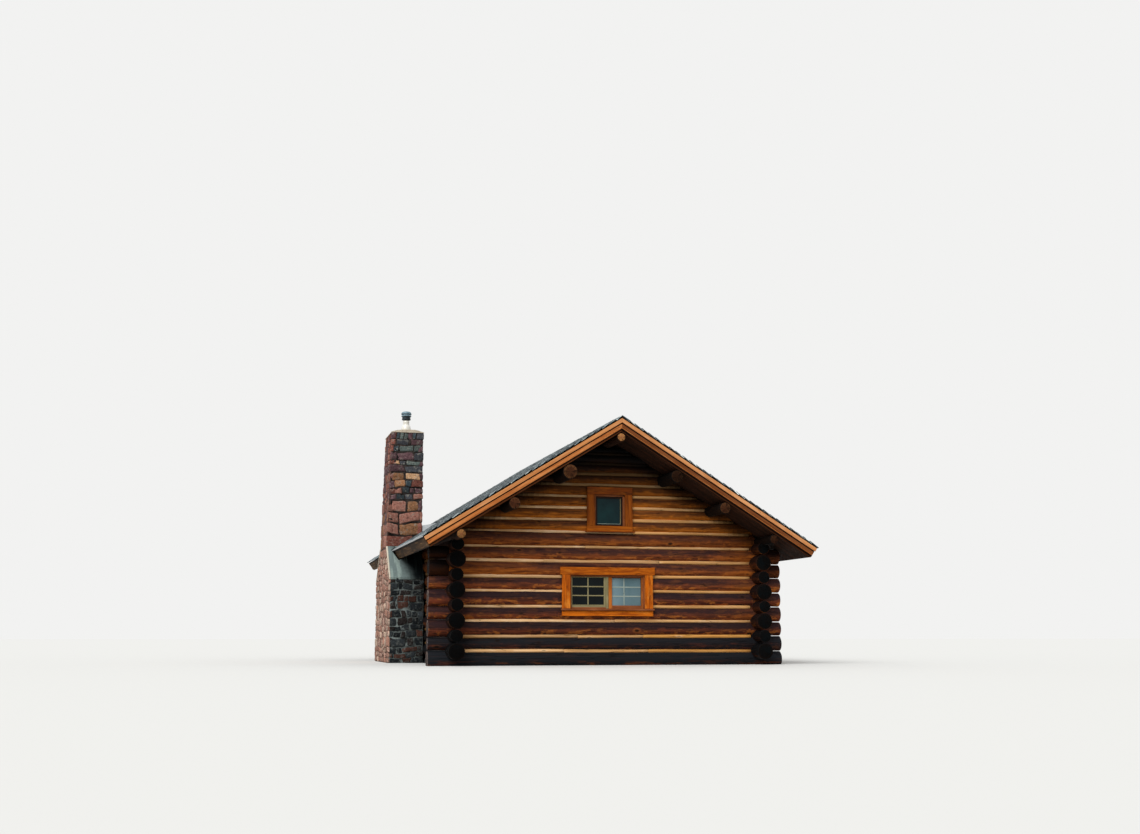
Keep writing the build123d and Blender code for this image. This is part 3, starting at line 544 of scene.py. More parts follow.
def splitByOpenings(wallName, low, high, start, end):
    # the stretches of a course that the openings leave
    stretches = [(start, end)]
    for item in openings[wallName]:
        if high - hew["lap"] > item["low"] and low + hew["lap"] < item["high"]:
            half = item["width"] / 2 + hew["gap"]
            left, right = item["middle"] - half, item["middle"] + half
            stretches = [part for a, b in stretches for part in ((a, min(b, left)), (max(a, right), b))
                         if part[1] - part[0] > hew["least"]]
    return stretches


def worldBox(first, second):
    return [[pick(first[i], second[i]) for i in range(3)] for pick in (min, max)]


def wallFlats(wallName):
    # where the logs are hewn flat behind casings, and cut level over and under a frame
    wall = walls[wallName]
    boxes = []
    axis = 1 if wallName in endWalls else 0
    sign = 1 if wall.out[axis] > 0 else -1
    limit = wall.origin[axis] + sign * joinery["flat"]
    for item in openings[wallName]:
        size, middle = casingSize[item["kind"]], item["middle"]
        half = item["width"] / 2 + size["side"] + size["ear"] + hew["side"]
        low, high = worldBox(wall.at(middle - half, 0, item["low"] - (size["sill"] + size["apron"] + hew["end"])),
                             wall.at(middle + half, 0, item["high"] + size["head"] + hew["end"]))
        low[axis], high[axis] = sorted((limit, limit + sign * 0.5))
        boxes.append((low, high, axis, limit))
        half = item["width"] / 2 + hew["frame"]
        for value, reach in ((item["low"] - hew["under"], hew["reach"]), (item["high"] + hew["over"], -hew["reach"])):
            low, high = worldBox(wall.at(middle - half, -hew["depth"], 0), wall.at(middle + half, hew["depth"], 0))
            low[2], high[2] = sorted((value, value + reach))
            boxes.append((low, high, 2, value))
    return boxes


# Tint and hue of each course from the ground up. A hue under 0 is soot, or painted shade on the top gable logs, and
# one over
# 0 warm orange brown. A third value warms the course's left end. Crowns are the ends past a corner: tint, the height
# over which it changes, and the tint there
stainAndShade = {
    "wall": [(1.0, -0.96), (1.0, -0.86), (0.95, 0.0), (1.12, 0.12), (1.0, 0.0), (1.12, 0.16), (1.22, 0.34, 0.55),
             (1.15, 0.36, 0.2), (1.08, 0.48)],
    # the gable tints falling towards the top, and its top hues under 0, are painted shade under the roof
    "gable": [(1.25, 0.5), (1.32, 0.75), (1.22, 0.70), (0.80, 0.55), (0.46, 0.40), (0.20, 0.20), (0.10, -0.6),
              (0.08, -0.9)],
    "freshFrom": 1.95, "leftFrom": -1.1, "fade": 0.5,
    # the low upper crown tints, the side-wall crown tint and the left wall's tint are painted shade
    "leftCrown": (1.30, 1.45, 0.10), "rightCrown": (1.45, 1.5, 0.60), "sideCrown": (0.24, 9.0, 0.24),
    "crownFrom": 0.1, "leftWall": 0.44, "shade": 0.34, "leastLog": 0.25, "leastChink": 0.12,
}


def roofUnder(x):
    return roof["apex"] - soffitDepth / slopeCos - roof["rise"] * abs(x)


def roofShade(wallName, along, height, least):
    # 1 on the open wall, and less close under the soffit of a gable end
    if wallName not in endWalls:
        return 1.0
    return clamp((roofUnder(along) - height) / stainAndShade["shade"], least)


def cutUnderRoof(part, basis):
    # trims what would pass up through the soffit
    point = Vector((0, 0, roofUnder(0.0) - 0.002))
    trim(part, basis, [(point, Vector((side * slopeSin, 0, slopeCos))) for side in (-1, 1)])


def logCourse(pile, wallName, height, radius, start, end, butt, rng, age, roofCut=False):
    wall, flats = walls[wallName], wallFlats(wallName)
    tint, hue, leftWarm = (*age, 0.0)[:3]
    tint *= rng.uniform(0.88, 1.12)
    hue += rng.uniform(-0.08, 0.12)
    fresh = stainAndShade["freshFrom"] + rng.uniform(-0.10, 0.12)
    freshHue = rng.uniform(0.30, 0.75) if hue > 0 else 0.0
    endWall = wallName in endWalls
    # past a corner a crown takes its own tints: the side-wall crowns and the upper end-wall crowns are darker as
    # painted shade
    far = stainAndShade["crownFrom"]
    corners = (-plan["halfX"] - far, plan["halfX"] + far) if endWall else (-far, plan["backY"] + far)
    ends = ("leftCrown", "rightCrown") if endWall else ("sideCrown", "sideCrown")
    lowDim, highDim = [stainAndShade[key][2 if height > stainAndShade[key][1] else 0] for key in ends]
    # the whole left wall is painted darker, as painted shade
    if wallName == "left":
        tint *= stainAndShade["leftWall"]
    taper = logShape["taper"] * butt
    for a, b in splitByOpenings(wallName, height - radius, height + radius, start, end):
        part = pile.start()
        radii = [radius + taper * (1.0 - 2.0 * (x - start) / (end - start)) for x in (a, b)]
        seed = shapeLog(part, b - a, *radii, rng, logShape["sides"], logShape["ring"],
                        max(2, round((b - a) * logShape["knotsPerMetre"])))
        basis = wall.basis(a, 0.0, height)
        press(part, basis, flats)
        if height - radius < 0.03:
            press(part, basis, [((-9, -9, -1), (9, 9, 0.0), 2, 0.0)])
        if roofCut:
            cutUnderRoof(part, basis)

        def hueAlong(x):
            if not corners[0] < x + a < corners[1]:
                return hue
            right, left = [clamp(way / stainAndShade["fade"]) for way in (x + a - fresh, stainAndShade["leftFrom"] - x - a)]
            return hue + freshHue * right + leftWarm * left

        def tintAlong(x):
            if x + a < corners[0]:
                return tint * lowDim
            if x + a > corners[1]:
                return tint * highDim
            return tint * roofShade(wallName, x + a, height, stainAndShade["leastLog"])

        pile.add(part, basis, tintAlong, hueAlong, (seed.x * 3, 0, 0))


def courseHeight(course):
    return plan["firstHeight"] + plan["pitch"] * course


def gableJoint(level):
    top = courseHeight(plan["endCourses"] - 0.5)
    return top + plan["gablePitch"] * level - plan["gableStep"] * level * (level - 1) / 2


def buildEndWall(wallName, seed):
    rng = random.Random(seed)
    pile = Pile(wallName + "WallLogs", "log endGrainGrey", "dark_logs", wallName + "_wall_logs")
    for course in range(plan["endCourses"]):
        height = courseHeight(course)
        radius = plan["thin"] if course % 2 else plan["thick"]
        reach = plan["halfX"] + (plan["crown"] if course < plan["endCourses"] - 1 else -0.03)
        if course == 0:
            height -= plan["sillExtra"]
            radius += plan["sillExtra"]
        logCourse(pile, wallName, height, radius, -reach, reach, -1 if course % 2 else 1, rng, stainAndShade["wall"][course],
                  course >= plan["endCourses"] - 2)
    pile.done(50)
    gable = Pile(wallName + "GableLogs", "gableLog endGrainDark", "gable_logs", wallName + "_gable_logs")
    for level in range(plan["gableCourses"] + 1):
        low, high = gableJoint(level), gableJoint(level + 1)
        if level == plan["gableCourses"]:
            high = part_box("ridge_pole")[0].z + 0.01
        reach = (roofUnder(0) - low) / roof["rise"]
        logCourse(gable, wallName, (low + high) / 2, (high - low - plan["gableGap"]) / 2, -reach, reach,
                  1 if level % 2 else -1, rng, stainAndShade["gable"][level], True)
    gable.done(50)


def buildSideWall(wallName, seed):
    rng = random.Random(seed)
    pile = Pile(wallName + "WallLogs", "log endGrainDark", "dark_logs", wallName + "_wall_logs")
    for course in range(plan["sideCourses"]):
        logCourse(pile, wallName, courseHeight(course + 0.5), plan["thin"] if course % 2 else plan["thick"],
                  -plan["crown"], plan["backY"] + plan["crown"], -1 if course % 2 else 1, rng,
                  stainAndShade["wall"][course])
    pile.done(50)


buildEndWall("front", 11)
buildEndWall("back", 23)
buildSideWall("left", 37)
buildSideWall("right", 41)


# Chinking: split poles, two to four lengths to a joint
chink = {"out": 0.050, "radius": 0.038, "sides": 10, "ring": 0.10, "gap": 0.008}


def chinkColourAndShade(wallName, along, height):
    # cream at the left and in the middle, golden to the right and low down, and darker and more golden under the roof
    # as painted shade. On the side walls the chinks are dimmer, and darkest on the left wall as painted shade
    if wallName not in endWalls:
        return (0.30 if wallName == "left" else 0.62), 0.7
    hue = clamp((along + 0.6) / 2.6) * 0.75 + (0.35 if height < 0.6 else 0.0)
    high = clamp((height - 2.75) / 0.72)
    return 1.0 - 0.97 * high, min(hue + 0.5 * high, 1.0)


def buildChinking(wallName, seed):
    rng = random.Random(seed)
    wall = walls[wallName]
    pile = Pile(wallName + "Chinking", "chink chink", "chinking", wallName + "_chinking")
    if wallName in endWalls:
        inner = plan["halfX"] - plan["thick"]
        joints = [(courseHeight(course + 0.5), -inner, inner, 1.0) for course in range(plan["endCourses"] - 1)]
        for height in map(gableJoint, range(plan["gableCourses"] + 1)):
            reach = min(inner, (roofUnder(0) - height) / roof["rise"] - 0.03)
            joints.append((height, -reach, reach, 0.85))
    else:
        joints = [(courseHeight(course + 1.0), plan["thick"], plan["backY"] - plan["thick"], 1.0)
                  for course in range(plan["sideCourses"] - 1)]
    for height, start, end, share in joints:
        for a, b in splitByOpenings(wallName, height - 0.06, height + 0.06, start, end):
            count = max(1, round((b - a) / rng.uniform(1.6, 2.6)))
            marks = [a] + sorted(a + (b - a) * (k + rng.uniform(-0.2, 0.2)) / count for k in range(1, count)) + [b]
            for low, high in zip(marks, marks[1:]):
                part = pile.start()
                radius = chink["radius"] * share * rng.uniform(0.88, 1.1)
                shapeLog(part, high - low - chink["gap"], radius, radius * rng.uniform(0.85, 1.0), rng,
                         chink["sides"], chink["ring"], 0, 1.1)
                basis = wall.basis(low, chink["out"], height + rng.uniform(-0.005, 0.005))
                tint, hue = chinkColourAndShade(wallName, (low + high) / 2, height)
                tint *= rng.uniform(0.85, 1.12)
                pile.add(part, basis, lambda x: tint * roofShade(wallName, x + low, height, stainAndShade["leastChink"]),
                         hue + rng.uniform(-0.12, 0.12), (rng.uniform(0, 90), 0, 0))
    pile.done(60)


for number, wallName in enumerate(("front", "back", "left", "right")):
    buildChinking(wallName, 60 + number)


# Round timbers under the roof: x, radius and tint. The tint paints light and shade on each pole, lighter on those
# whose ends catch the light and darker on those in shade
poleRows = ((0.0, 0.076, 2.6), (-0.910, 0.128, 0.42), (0.998, 0.108, 0.13), (-1.876, 0.100, 0.52),
            (1.876, 0.100, 0.42), (-2.780, 0.080, 1.8), (2.780, 0.080, 0.24))


def buildPoles():
    rng = random.Random(77)
    poles = Pile("roofPoles", "pole endGrainWarm", "roof_poles", "ridge_pole", "purlins", "wall_plates")
    front, back = [corner.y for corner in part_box("purlins")]
    for x, radius, tint in poleRows:
        part = poles.start()
        seed = shapeLog(part, back - front, radius - 0.003, radius - 0.006, rng, 24, 0.11, 6, 0.6)
        place = Vector((x, front, roofUnder(x) - radius / slopeCos - 0.004))
        poles.add(part, basisFrom(place, Vector((0, 1, 0)), Vector((-1, 0, 0)), up), tint, 0.0, (seed.x * 2, 0, 0))
    poles.done(50)


buildPoles()


def addBoard(pile, basis, size, bevel=0.003, tint=1.0, hue=0.0, seed=0.0, look=0, cutPlanes=()):
    # a board from its low corner: size is along, across, up
    part = pile.cube(size, Vector(size) / 2)
    if bevel:
        bmesh.ops.bevel(part, geom=part.edges[:], offset=bevel, segments=1, affect="EDGES", profile=0.5, material=-1)
    trim(part, basis, cutPlanes)
    pile.add(part, basis, tint, hue, (seed, 0, 0), look)


def slopeBasis(side, distance, y, lift):
    # x down the slope, z out of the roof, and y along the ridge on the right slope or against it on the left
    down = Vector((side * slopeCos, 0, -slopeSin))
    out = Vector((side * slopeSin, 0, slopeCos))
    origin = Vector((0, y, roof["apex"])) + down * distance + out * lift
    return basisFrom(origin, down, out.cross(down), out)


def slopeRun(side):
    return roof["leftRun"] if side < 0 else roof["rightRun"]


def slopeBoard(pile, side, distance, length, yLow, yHigh, top, bottom, **more):
    basis = slopeBasis(side, distance, yLow if side > 0 else yHigh, -bottom)
    addBoard(pile, basis, (length, yHigh - yLow, bottom - top), **more)


def ridgeBoard(pile, side, length, *sizes, past=0.2, **more):
    # a board that starts past the ridge and is cut where the two slopes meet
    plane = (Vector((side * 0.0005, 0, 0)), Vector((-side, 0, 0)))
    slopeBoard(pile, side, -past, length + past, *sizes, cutPlanes=[plane], **more)


# Boards down the rakes: a light one, a dark groove, a second board and a thin strip under it. The recessed strip, the
# strip under the board and the boards behind are painted near black, as painted shade
rake = {"trimLow": 0.062, "trimThick": 0.022, "faceTop": 0.082, "faceLow": 0.149, "bargeLow": 0.161,
        "bargeThick": 0.036, "boardThick": 0.0135, "paleEdge": 0.013, "gap": 0.0005}


def buildRakes():
    rng = random.Random(5)
    trims = Pile("rakeTrims", "rake", "rake_wood", "rake_trims")
    barges = Pile("bargeBoards", "barge groove", "rake_wood", "barge_boards")
    thick, faceLow = rake["trimThick"], rake["faceLow"]
    board = thick + rake["boardThick"]
    edge = faceLow - rake["paleEdge"]
    for side in (-1, 1):
        for end, inward in zip(endWalls, (1, -1)):
            def strip(pile, near, far, top, low, shorter, share=1.0, **more):
                ys = sorted((roof[end] + inward * near, roof[end] + inward * far))
                ridgeBoard(pile, side, slopeRun(side) / slopeCos - shorter, *ys, top, low,
                           tint=share * rng.uniform(0.95, 1.06), seed=rng.uniform(0, 90), **more)

            strip(trims, 0.0, thick - rake["gap"], 0.0, rake["trimLow"], 0.0, hue=0.55 if side < 0 else 0.15)
            # look 1 is the near-black finish: painted shade in the recess, under the board and behind it
            strip(barges, thick + 0.014, thick + rake["bargeThick"], 0.001, rake["bargeLow"] - 0.001, 0.012, look=1)
            # a share is a tint: the left rake's boards are lighter as painted light, and the right face board darker
            # as painted shade, all but its lower edge strip
            strip(barges, thick, board, rake["faceTop"], edge, 0.010, 1.35 if side < 0 else 0.50,
                  hue=0.2 if side < 0 else 0.8)
            strip(barges, thick, board, edge + rake["gap"], faceLow, 0.010, 1.25 if side < 0 else 1.05)
            strip(barges, thick + 0.006, board, faceLow + 0.001, rake["bargeLow"], 0.010, look=1)
            strip(barges, thick, board, 0.002, rake["faceTop"] - 0.016, 0.014, look=1)
    trims.done(30)
    barges.done(30)


buildRakes()


def inRow(start, end, widths, rng, rest):
    # pieces of random width side by side, until no more than the rest is left
    while start < end - rest:
        width = min(rng.uniform(*widths), end - start)
        yield start, width
        start += width


def besideStack(side, y, width, x):
    # whether a board at y with this width would pass through the stack on its way down to x
    low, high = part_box("chimney_stack")
    return side < 0 and y + width > low.y - 0.006 and y < high.y + 0.006 and x > abs(high.x + 0.006) - 0.02


# Soffit boards run down the slope, side by side, and a thin reddish strip covers their ends under each rake
soffit = {"strip": 0.013, "width": (0.12, 0.16), "short": 0.024, "inside": 0.0015}


def buildSoffit():
    rng = random.Random(9)
    pile = Pile("soffitBoards", "soffit barge", "roof_deck", "left_soffit", "right_soffit")
    front, back = [corner.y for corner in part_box("right_soffit")]
    bottom = soffitDepth - soffit["inside"]
    for side in (-1, 1):
        for low in (front, back - soffit["strip"]):
            # the end strips are darker on the right slope, as painted shade
            ridgeBoard(pile, side, slopeRun(side) / slopeCos - 0.02, low, low + soffit["strip"],
                       rake["bargeLow"] + 0.004, bottom, tint=0.34 if side < 0 else 0.10, hue=1.0, seed=side * 7.0,
                       bevel=0.001, look=1)
        for y, width in inRow(front + soffit["strip"], back - soffit["strip"], soffit["width"], rng, 0.01):
            length = slopeRun(side) / slopeCos - soffit["short"] / slopeCos
            if besideStack(side, y, width, math.inf):
                length = abs(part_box("chimney_stack")[1].x + 0.006) / slopeCos - 0.01
            # the boards on the right slope are painted lighter, as painted light
            ridgeBoard(pile, side, length, y + 0.001, y + width - 0.001, roof["deck"] + roof["rafter"], bottom,
                       tint=rng.uniform(0.75, 1.15) * (3.4 if side > 0 else 1.0), seed=rng.uniform(0, 90),
                       bevel=0.002)
    pile.done(30)


buildSoffit()


# Shingles, laid in courses up each slope, and short ones along the ridge, cut where the two sides meet
shingle = {"exposure": 0.145, "length": 0.20, "thick": 0.013, "top": 0.034, "step": 0.012, "width": (0.085, 0.17),
           "uneven": 0.014, "lift": 0.004, "least": 0.03, "tint": (0.5, 1.15), "pale": (1.4, 2.1), "paleShare": 0.26}
ridge = {"width": 0.148, "low": 0.035, "high": (0.044, 0.051), "exposure": (0.13, 0.16)}


def buildShingles(side, name, seed):
    rng = random.Random(seed)
    pile = Pile(name + "Shingles", "shingle", "shingles", name + "_shingles")
    length = (slopeRun(side) + roof["overhang"]) / slopeCos
    tilt = math.atan2(shingle["step"], shingle["exposure"])
    for row in range(math.ceil(length / shingle["exposure"])):
        rowTint = rng.uniform(0.9, 1.08)
        for y, width in inRow(roof["front"] + roof["edge"], roof["back"], shingle["width"], rng, 0.004):
            end = length - shingle["exposure"] * row - rng.uniform(0.0, shingle["uneven"])
            start = max(end - shingle["length"], 0.0)
            if not besideStack(side, y, width, (start + end) / 2 * slopeCos) and end - start > shingle["least"]:
                for _ in range(2 if side < 0 else 1):
                    lift = shingle["top"] - rng.uniform(0.0, shingle["lift"])
                basis = slopeBasis(side, end, y if side > 0 else y + width, lift)
                lean = Matrix.Rotation(tilt + rng.uniform(-0.008, 0.004), 4, "Y")
                thick = shingle["thick"] * rng.uniform(0.85, 1.1)
                part = pile.cube((end - start, width - rng.uniform(0.002, 0.006), thick),
                                 (-(end - start) / 2, width / 2, -thick / 2))
                for vert in part.verts:
                    if vert.co.x < -0.02 and vert.co.z < -thick * 0.5:
                        vert.co.z += thick * 0.6
                tint = rowTint * rng.uniform(*shingle["pale" if rng.random() < shingle["paleShare"] else "tint"])
                pile.add(part, basis @ lean, tint, 0.0, (0, rng.uniform(0, 50), 0))
    pile.done(0)


def buildRidge():
    rng = random.Random(303)
    pile = Pile("ridgeShingles", "shingle", "shingles", "ridge_cap")
    low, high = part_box("ridge_cap")
    for side in (-1, 1):
        for y, width in inRow(low.y + roof["edge"], high.y - roof["edge"], ridge["exposure"], rng, 0.003):
            reach = ridge["width"] - rng.uniform(0.0, 0.012)
            ridgeBoard(pile, side, reach, y, y + width - 0.003, -rng.uniform(*ridge["high"]), -ridge["low"],
                       tint=rng.uniform(0.55, 1.35), seed=rng.uniform(0, 60), bevel=0.0, past=0.1)
    pile.done(30)


buildShingles(-1, "left", 101)
buildShingles(1, "right", 202)
buildRidge()


# Chimney: rough stones in rows that run round all its faces, over a mortar core just inside the CAD faces
masonry = {"deep": 0.090, "corner": 0.055, "joint": 0.013, "recess": 0.014, "relief": 0.009, "least": 0.06,
           "shoulder": 1.560, "shoulderTop": 2.180, "batter": 0.060, "rough": 0.014, "lean": 0.06, "drift": 0.085,
           "rise": 0.075, "calm": 0.14, "lowShare": 0.44, "lowRow": (0.17, 0.27), "stackRow": (0.09, 0.17),
           "topRow": 0.135, "stackWide": (0.7, 2.0), "topWide": (0.42, 0.62), "baseRow": (0.09, 0.20),
           "baseWide": (0.6, 2.1), "skewX": 0.09, "skewZ": 0.10, "round": 0.13, "longEdge": 0.045,
           "tint": (0.62, 1.25)}


def drift(place, low, high):
    # bends rows and joints, less towards the edges of the masonry, so that no course runs dead level
    near = [clamp(min(place[i] - low[i], high[i] - place[i]) / masonry["calm"]) for i in range(3)]
    shift = [noise.noise(place * 2.3 + Vector((5.0 * i, 9.0 * i, 0.0))) for i in range(3)]
    size = (masonry["drift"], masonry["drift"], masonry["rise"])
    return place + Vector([near[i] * shift[i] * size[i] for i in range(3)])


def addStone(pile, basis, width, height, rng, hue, low, high, planes):
    # the stone's face is its own y = 0. low and high are the world box that it stays inside
    part = pile.cube((width, masonry["deep"], height), (0.0, -masonry["deep"] / 2, 0.0))
    for vert in part.verts:
        vert.co.x += rng.uniform(-1, 0.6) * masonry["skewX"] * width * (1 if vert.co.x > 0 else -1)
        vert.co.z += rng.uniform(-1, 0.6) * masonry["skewZ"] * height * (1 if vert.co.z > 0 else -1)
    bmesh.ops.bevel(part, geom=part.edges[:], offset=min(width, height) * masonry["round"], segments=2,
                    affect="EDGES", profile=0.5, material=-1)
    wide = [e for e in part.edges if e.calc_length() > masonry["longEdge"]]
    bmesh.ops.subdivide_edges(part, edges=wide, cuts=2, use_grid_fill=True)
    bmesh.ops.rotate(part, verts=part.verts, matrix=Matrix.Rotation(rng.uniform(-1, 1) * masonry["lean"], 3, "Y"))
    seed = Vector([rng.uniform(0, 99) for _ in range(3)])
    back = basis.inverted()
    for vert in part.verts:
        rough = noise.noise(vert.co * 10 + seed) + 0.45 * noise.noise(vert.co * 31 + seed)
        side = noise.noise(vert.co * 13 - seed)
        vert.co += Vector((side, rough if vert.co.y > -0.02 else 0.0, rough)) * masonry["rough"]
        place = drift(basis @ vert.co, low, high)
        vert.co = back @ Vector([clamp(place[i], low[i], high[i]) for i in range(3)])
    trim(part, basis, planes)
    pile.add(part, basis, rng.uniform(*masonry["tint"]), hue)


def layRow(pile, corner, along, out, start, end, rise, rng, hueAt, wide, box, planes=()):
    # one row of stones on one face. corner is the face's low corner at the row's foot
    own = along if up.cross(along).dot(out) > 0 else -along
    joint = masonry["joint"]
    a = start
    while a < end - 0.001:
        width = min(rise * rng.uniform(*wide), end - a)
        if end - a - width < masonry["least"]:
            width = end - a
        left = 0.0 if a == start else joint / 2
        right = 0.0 if a + width >= end - 0.001 else joint / 2
        middle = corner + along * (a + (width + left - right) / 2) + up * (rise / 2)
        middle -= out * rng.uniform(0.0, masonry["relief"])
        addStone(pile, basisFrom(middle, own, out, up), width - left - right, rise - joint, rng,
                 hueAt(middle, out, rng), *box, planes)
        a += width


def rowsOf(height, size, rng):
    rows = []
    while sum(rows) < height - size[0]:
        rows.append(rng.uniform(*size))
    return [row * height / sum(rows) for row in rows]


def addCore(pile, node, low, high, lean):
    # the node's own solid, drawn in behind the stones
    part = pile.start(node)
    recess = masonry["recess"]
    for vert in part.verts:
        if vert.co.x < low.x + lean * (vert.co.z - low.z) + 0.002:
            vert.co.x += recess
        if vert.co.x > high.x - 0.0005 and node == "chimney_stack":
            vert.co.x -= recess
        for edge, sign in ((low.y, 1), (high.y, -1)):
            if abs(vert.co.y - edge) < 0.002:
                vert.co.y += sign * recess
                if node == "chimney_base" and vert.co.z > 1.0:
                    vert.co.z += recess
    pile.add(part, look=1)


# The hue is the middle of one of eight colours
def baseHue(place, out, rng):
    # pinkish on the sunny outer face as painted light, and dark on the others, partly dark stone and partly painted
    # shade
    return ((rng.randrange(0, 4) if out.x < -0.5 else rng.randrange(4, 8)) + 0.5) / 8


def stackHue(place, out, rng):
    low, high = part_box("chimney_stack")
    rise = (place.z - low.z) / (high.z - low.z)
    over = (place.x - low.x) / (high.x - low.x)
    if out.y < -0.5 and rise > 0.86:
        picks = (5, 4, 6, 7, 3, 6) if over > 0.25 else (3, 2)
    elif out.y < -0.5 and rise > 0.42 and 0.32 < over < 0.80:
        picks = (5, 7, 4, 6, 3, 1, 5, 4, 6, 7) if rise > 0.6 else (4, 5, 3, 1, 2, 4)
    elif rise < 0.42:
        picks = (0, 0, 1, 2, 0, 1, 3)
    else:
        picks = (3, 2, 2, 0, 3) if over < 0.5 else (3, 2, 3, 0, 2, 4)
    return (rng.choice(picks) + 0.5) / 8


def buildChimney():
    rng = random.Random(314)
    left, right, near, far = [Vector(way) for way in ((-1, 0, 0), (1, 0, 0), (0, -1, 0), (0, 1, 0))]
    low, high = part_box("chimney_base")
    stackLow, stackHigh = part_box("chimney_stack")
    shoulder, top, corner = masonry["shoulder"], masonry["shoulderTop"], masonry["corner"]
    base = Pile("chimneyBase", "baseStone baseMortar", "stone", "chimney_base")
    addCore(base, "chimney_base", low, high, 0.0)
    run = stackLow.y - low.y
    slope = Vector((0, -(top - shoulder), run)).normalized()
    drop = Vector((0, 0, -0.010))
    planes = [(Vector((0, low.y, shoulder)) + drop, slope),
              (Vector((0, high.y, shoulder)) + drop, Vector((0, -slope.y, slope.z)))]
    box = (Vector((low.x, low.y, 0.0)), Vector((high.x, high.y, top)))
    z = 0.0
    rows = rowsOf(shoulder, masonry["baseRow"], rng) + rowsOf(top - shoulder, masonry["baseRow"], rng)
    for number, rise in enumerate(rows):
        above = z > shoulder - 0.01
        share = max(z - shoulder, 0.0) / (top - shoulder)
        y0, y1 = low.y + run * share, high.y - run * share
        inset = corner if number % 2 == 0 and not above else 0.0
        layRow(base, Vector((low.x, y0, z)), far, left, inset, y1 - y0 - inset, rise, rng, baseHue,
               masonry["baseWide"], box, planes)
        if not above:
            for y, out in ((low.y, near), (high.y, far)):
                layRow(base, Vector((low.x, y, z)), right, out, corner - inset, high.x - low.x, rise, rng, baseHue,
                       masonry["baseWide"], box)
        z += rise
    base.done(50)

    stack = Pile("chimneyStack", "stone stackMortar", "stone", "chimney_stack")
    lean = masonry["batter"] / (stackHigh.z - stackLow.z)
    addCore(stack, "chimney_stack", stackLow, stackHigh, lean)
    tall = stackHigh.z - stackLow.z - masonry["topRow"]
    rows = rowsOf(tall * masonry["lowShare"], masonry["lowRow"], rng)
    rows += rowsOf(tall * (1 - masonry["lowShare"]), masonry["stackRow"], rng) + [masonry["topRow"]]
    z = stackLow.z
    for number, rise in enumerate(rows):
        wide = masonry["topWide"] if number == len(rows) - 1 else masonry["stackWide"]
        x0 = stackLow.x + lean * (z - stackLow.z + rise / 2)
        x1 = stackHigh.x if z > 2.33 else high.x
        box = (Vector((x0, stackLow.y, stackLow.z)), Vector((x1, stackHigh.y, stackHigh.z)))
        inset = corner if number % 2 == 0 else 0.0
        for x, out in ((x0, left), (x1, right)):
            if out.x < 0 or z > 2.4:
                layRow(stack, Vector((x, stackLow.y, z)), far, out, inset, stackHigh.y - stackLow.y - inset, rise, rng,
                       stackHue, wide, box)
        inset = corner - inset
        for y, out in ((stackLow.y, near), (stackHigh.y, far)):
            layRow(stack, Vector((x0, y, z)), right, out, inset, x1 - x0 - inset, rise, rng, stackHue, wide, box)
        z += rise
    stack.done(50)


buildChimney()


# Flue: a pale domed collar and neck, and a dark ringed cowl with light bands high up as painted highlights and a dark
# ring at the neck's foot as painted shade, turned about the flue's own axis
flue = {"dome": ((0.097, 0.000), (0.097, 0.014), (0.093, 0.019), (0.094, 0.082), (0.091, 0.108), (0.084, 0.134),
                 (0.073, 0.157), (0.063, 0.171), (0.062, 0.184)),
        "neck": ((0.060, 0.000), (0.061, 0.002), (0.061, 0.010), (0.061, 0.030), (0.066, 0.036), (0.061, 0.042),
                 (0.061, 0.070)),
        "cowl": ((0.052, 0.070), (0.052, 0.086), (0.084, 0.084), (0.088, 0.090), (0.086, 0.118), (0.079, 0.124),
                 (0.079, 0.136), (0.099, 0.158), (0.101, 0.168), (0.096, 0.176), (0.086, 0.182), (0.086, 0.192),
                 (0.101, 0.196), (0.103, 0.208), (0.099, 0.220), (0.094, 0.236), (0.074, 0.250), (0.036, 0.259),
                 (0.0, 0.263)),
        "steps": 40, "highlightBands": ((0.157, 0.200), (0.209, 0.262)), "footShade": 0.006}


def turned(name, profiles, centre, finishNames, node, highlightBands=(), footShade=0.0):
    pile = Pile(name, finishNames, "flue_metal", node)
    for number, points in enumerate(profiles):
        part = pile.start()
        verts = [part.verts.new((radius, 0.0, height)) for radius, height in points]
        edges = [part.edges.new(pair) for pair in zip(verts, verts[1:])]
        bmesh.ops.spin(part, geom=verts + edges, axis=up, cent=(0, 0, 0), steps=flue["steps"], angle=2 * math.pi,
                       use_merge=True)
        bmesh.ops.remove_doubles(part, verts=part.verts, dist=0.00005)
        bmesh.ops.recalc_face_normals(part, faces=part.faces)
        # the light bands are painted highlights, and the neck's dark foot is painted shade
        pile.add(part, Matrix.Translation(centre), look=lambda middle: 2 if any(a < middle.z < b for a, b in highlightBands)
                 else 1 if middle.z < footShade else number)
    pile.done(40)


def buildFlue():
    centre = middleOf("flue_collar")
    centre.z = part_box("flue_collar")[0].z
    turned("flueDome", [flue["dome"]], centre, "flueSheet", "flue_collar")
    centre.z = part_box("flue_cowl")[0].z
    turned("flueCowl", [flue["neck"], flue["cowl"]], centre, "flueSheet cowlSheet ringSheet", "flue_cowl",
           flue["highlightBands"], flue["footShade"])


buildFlue()


# Windows and the door
def wallBoard(pile, wall, a0, a1, o0, o1, z0, z1, upright=False, **more):
    # a board on a wall, its grain along the wall or upright
    if upright:
        basis = basisFrom(wall.at(a1, 0, z0), up, wall.across, -wall.along)
        size = (z1 - z0, o1 - o0, a1 - a0)
    else:
        basis = wall.basis(a0, 0, z0)
        size = (a1 - a0, o1 - o0, z1 - z0)
    low = o0 if wall.across.dot(wall.out) > 0 else -o1
    addBoard(pile, basis @ Matrix.Translation((0, low, 0)), size, **more)


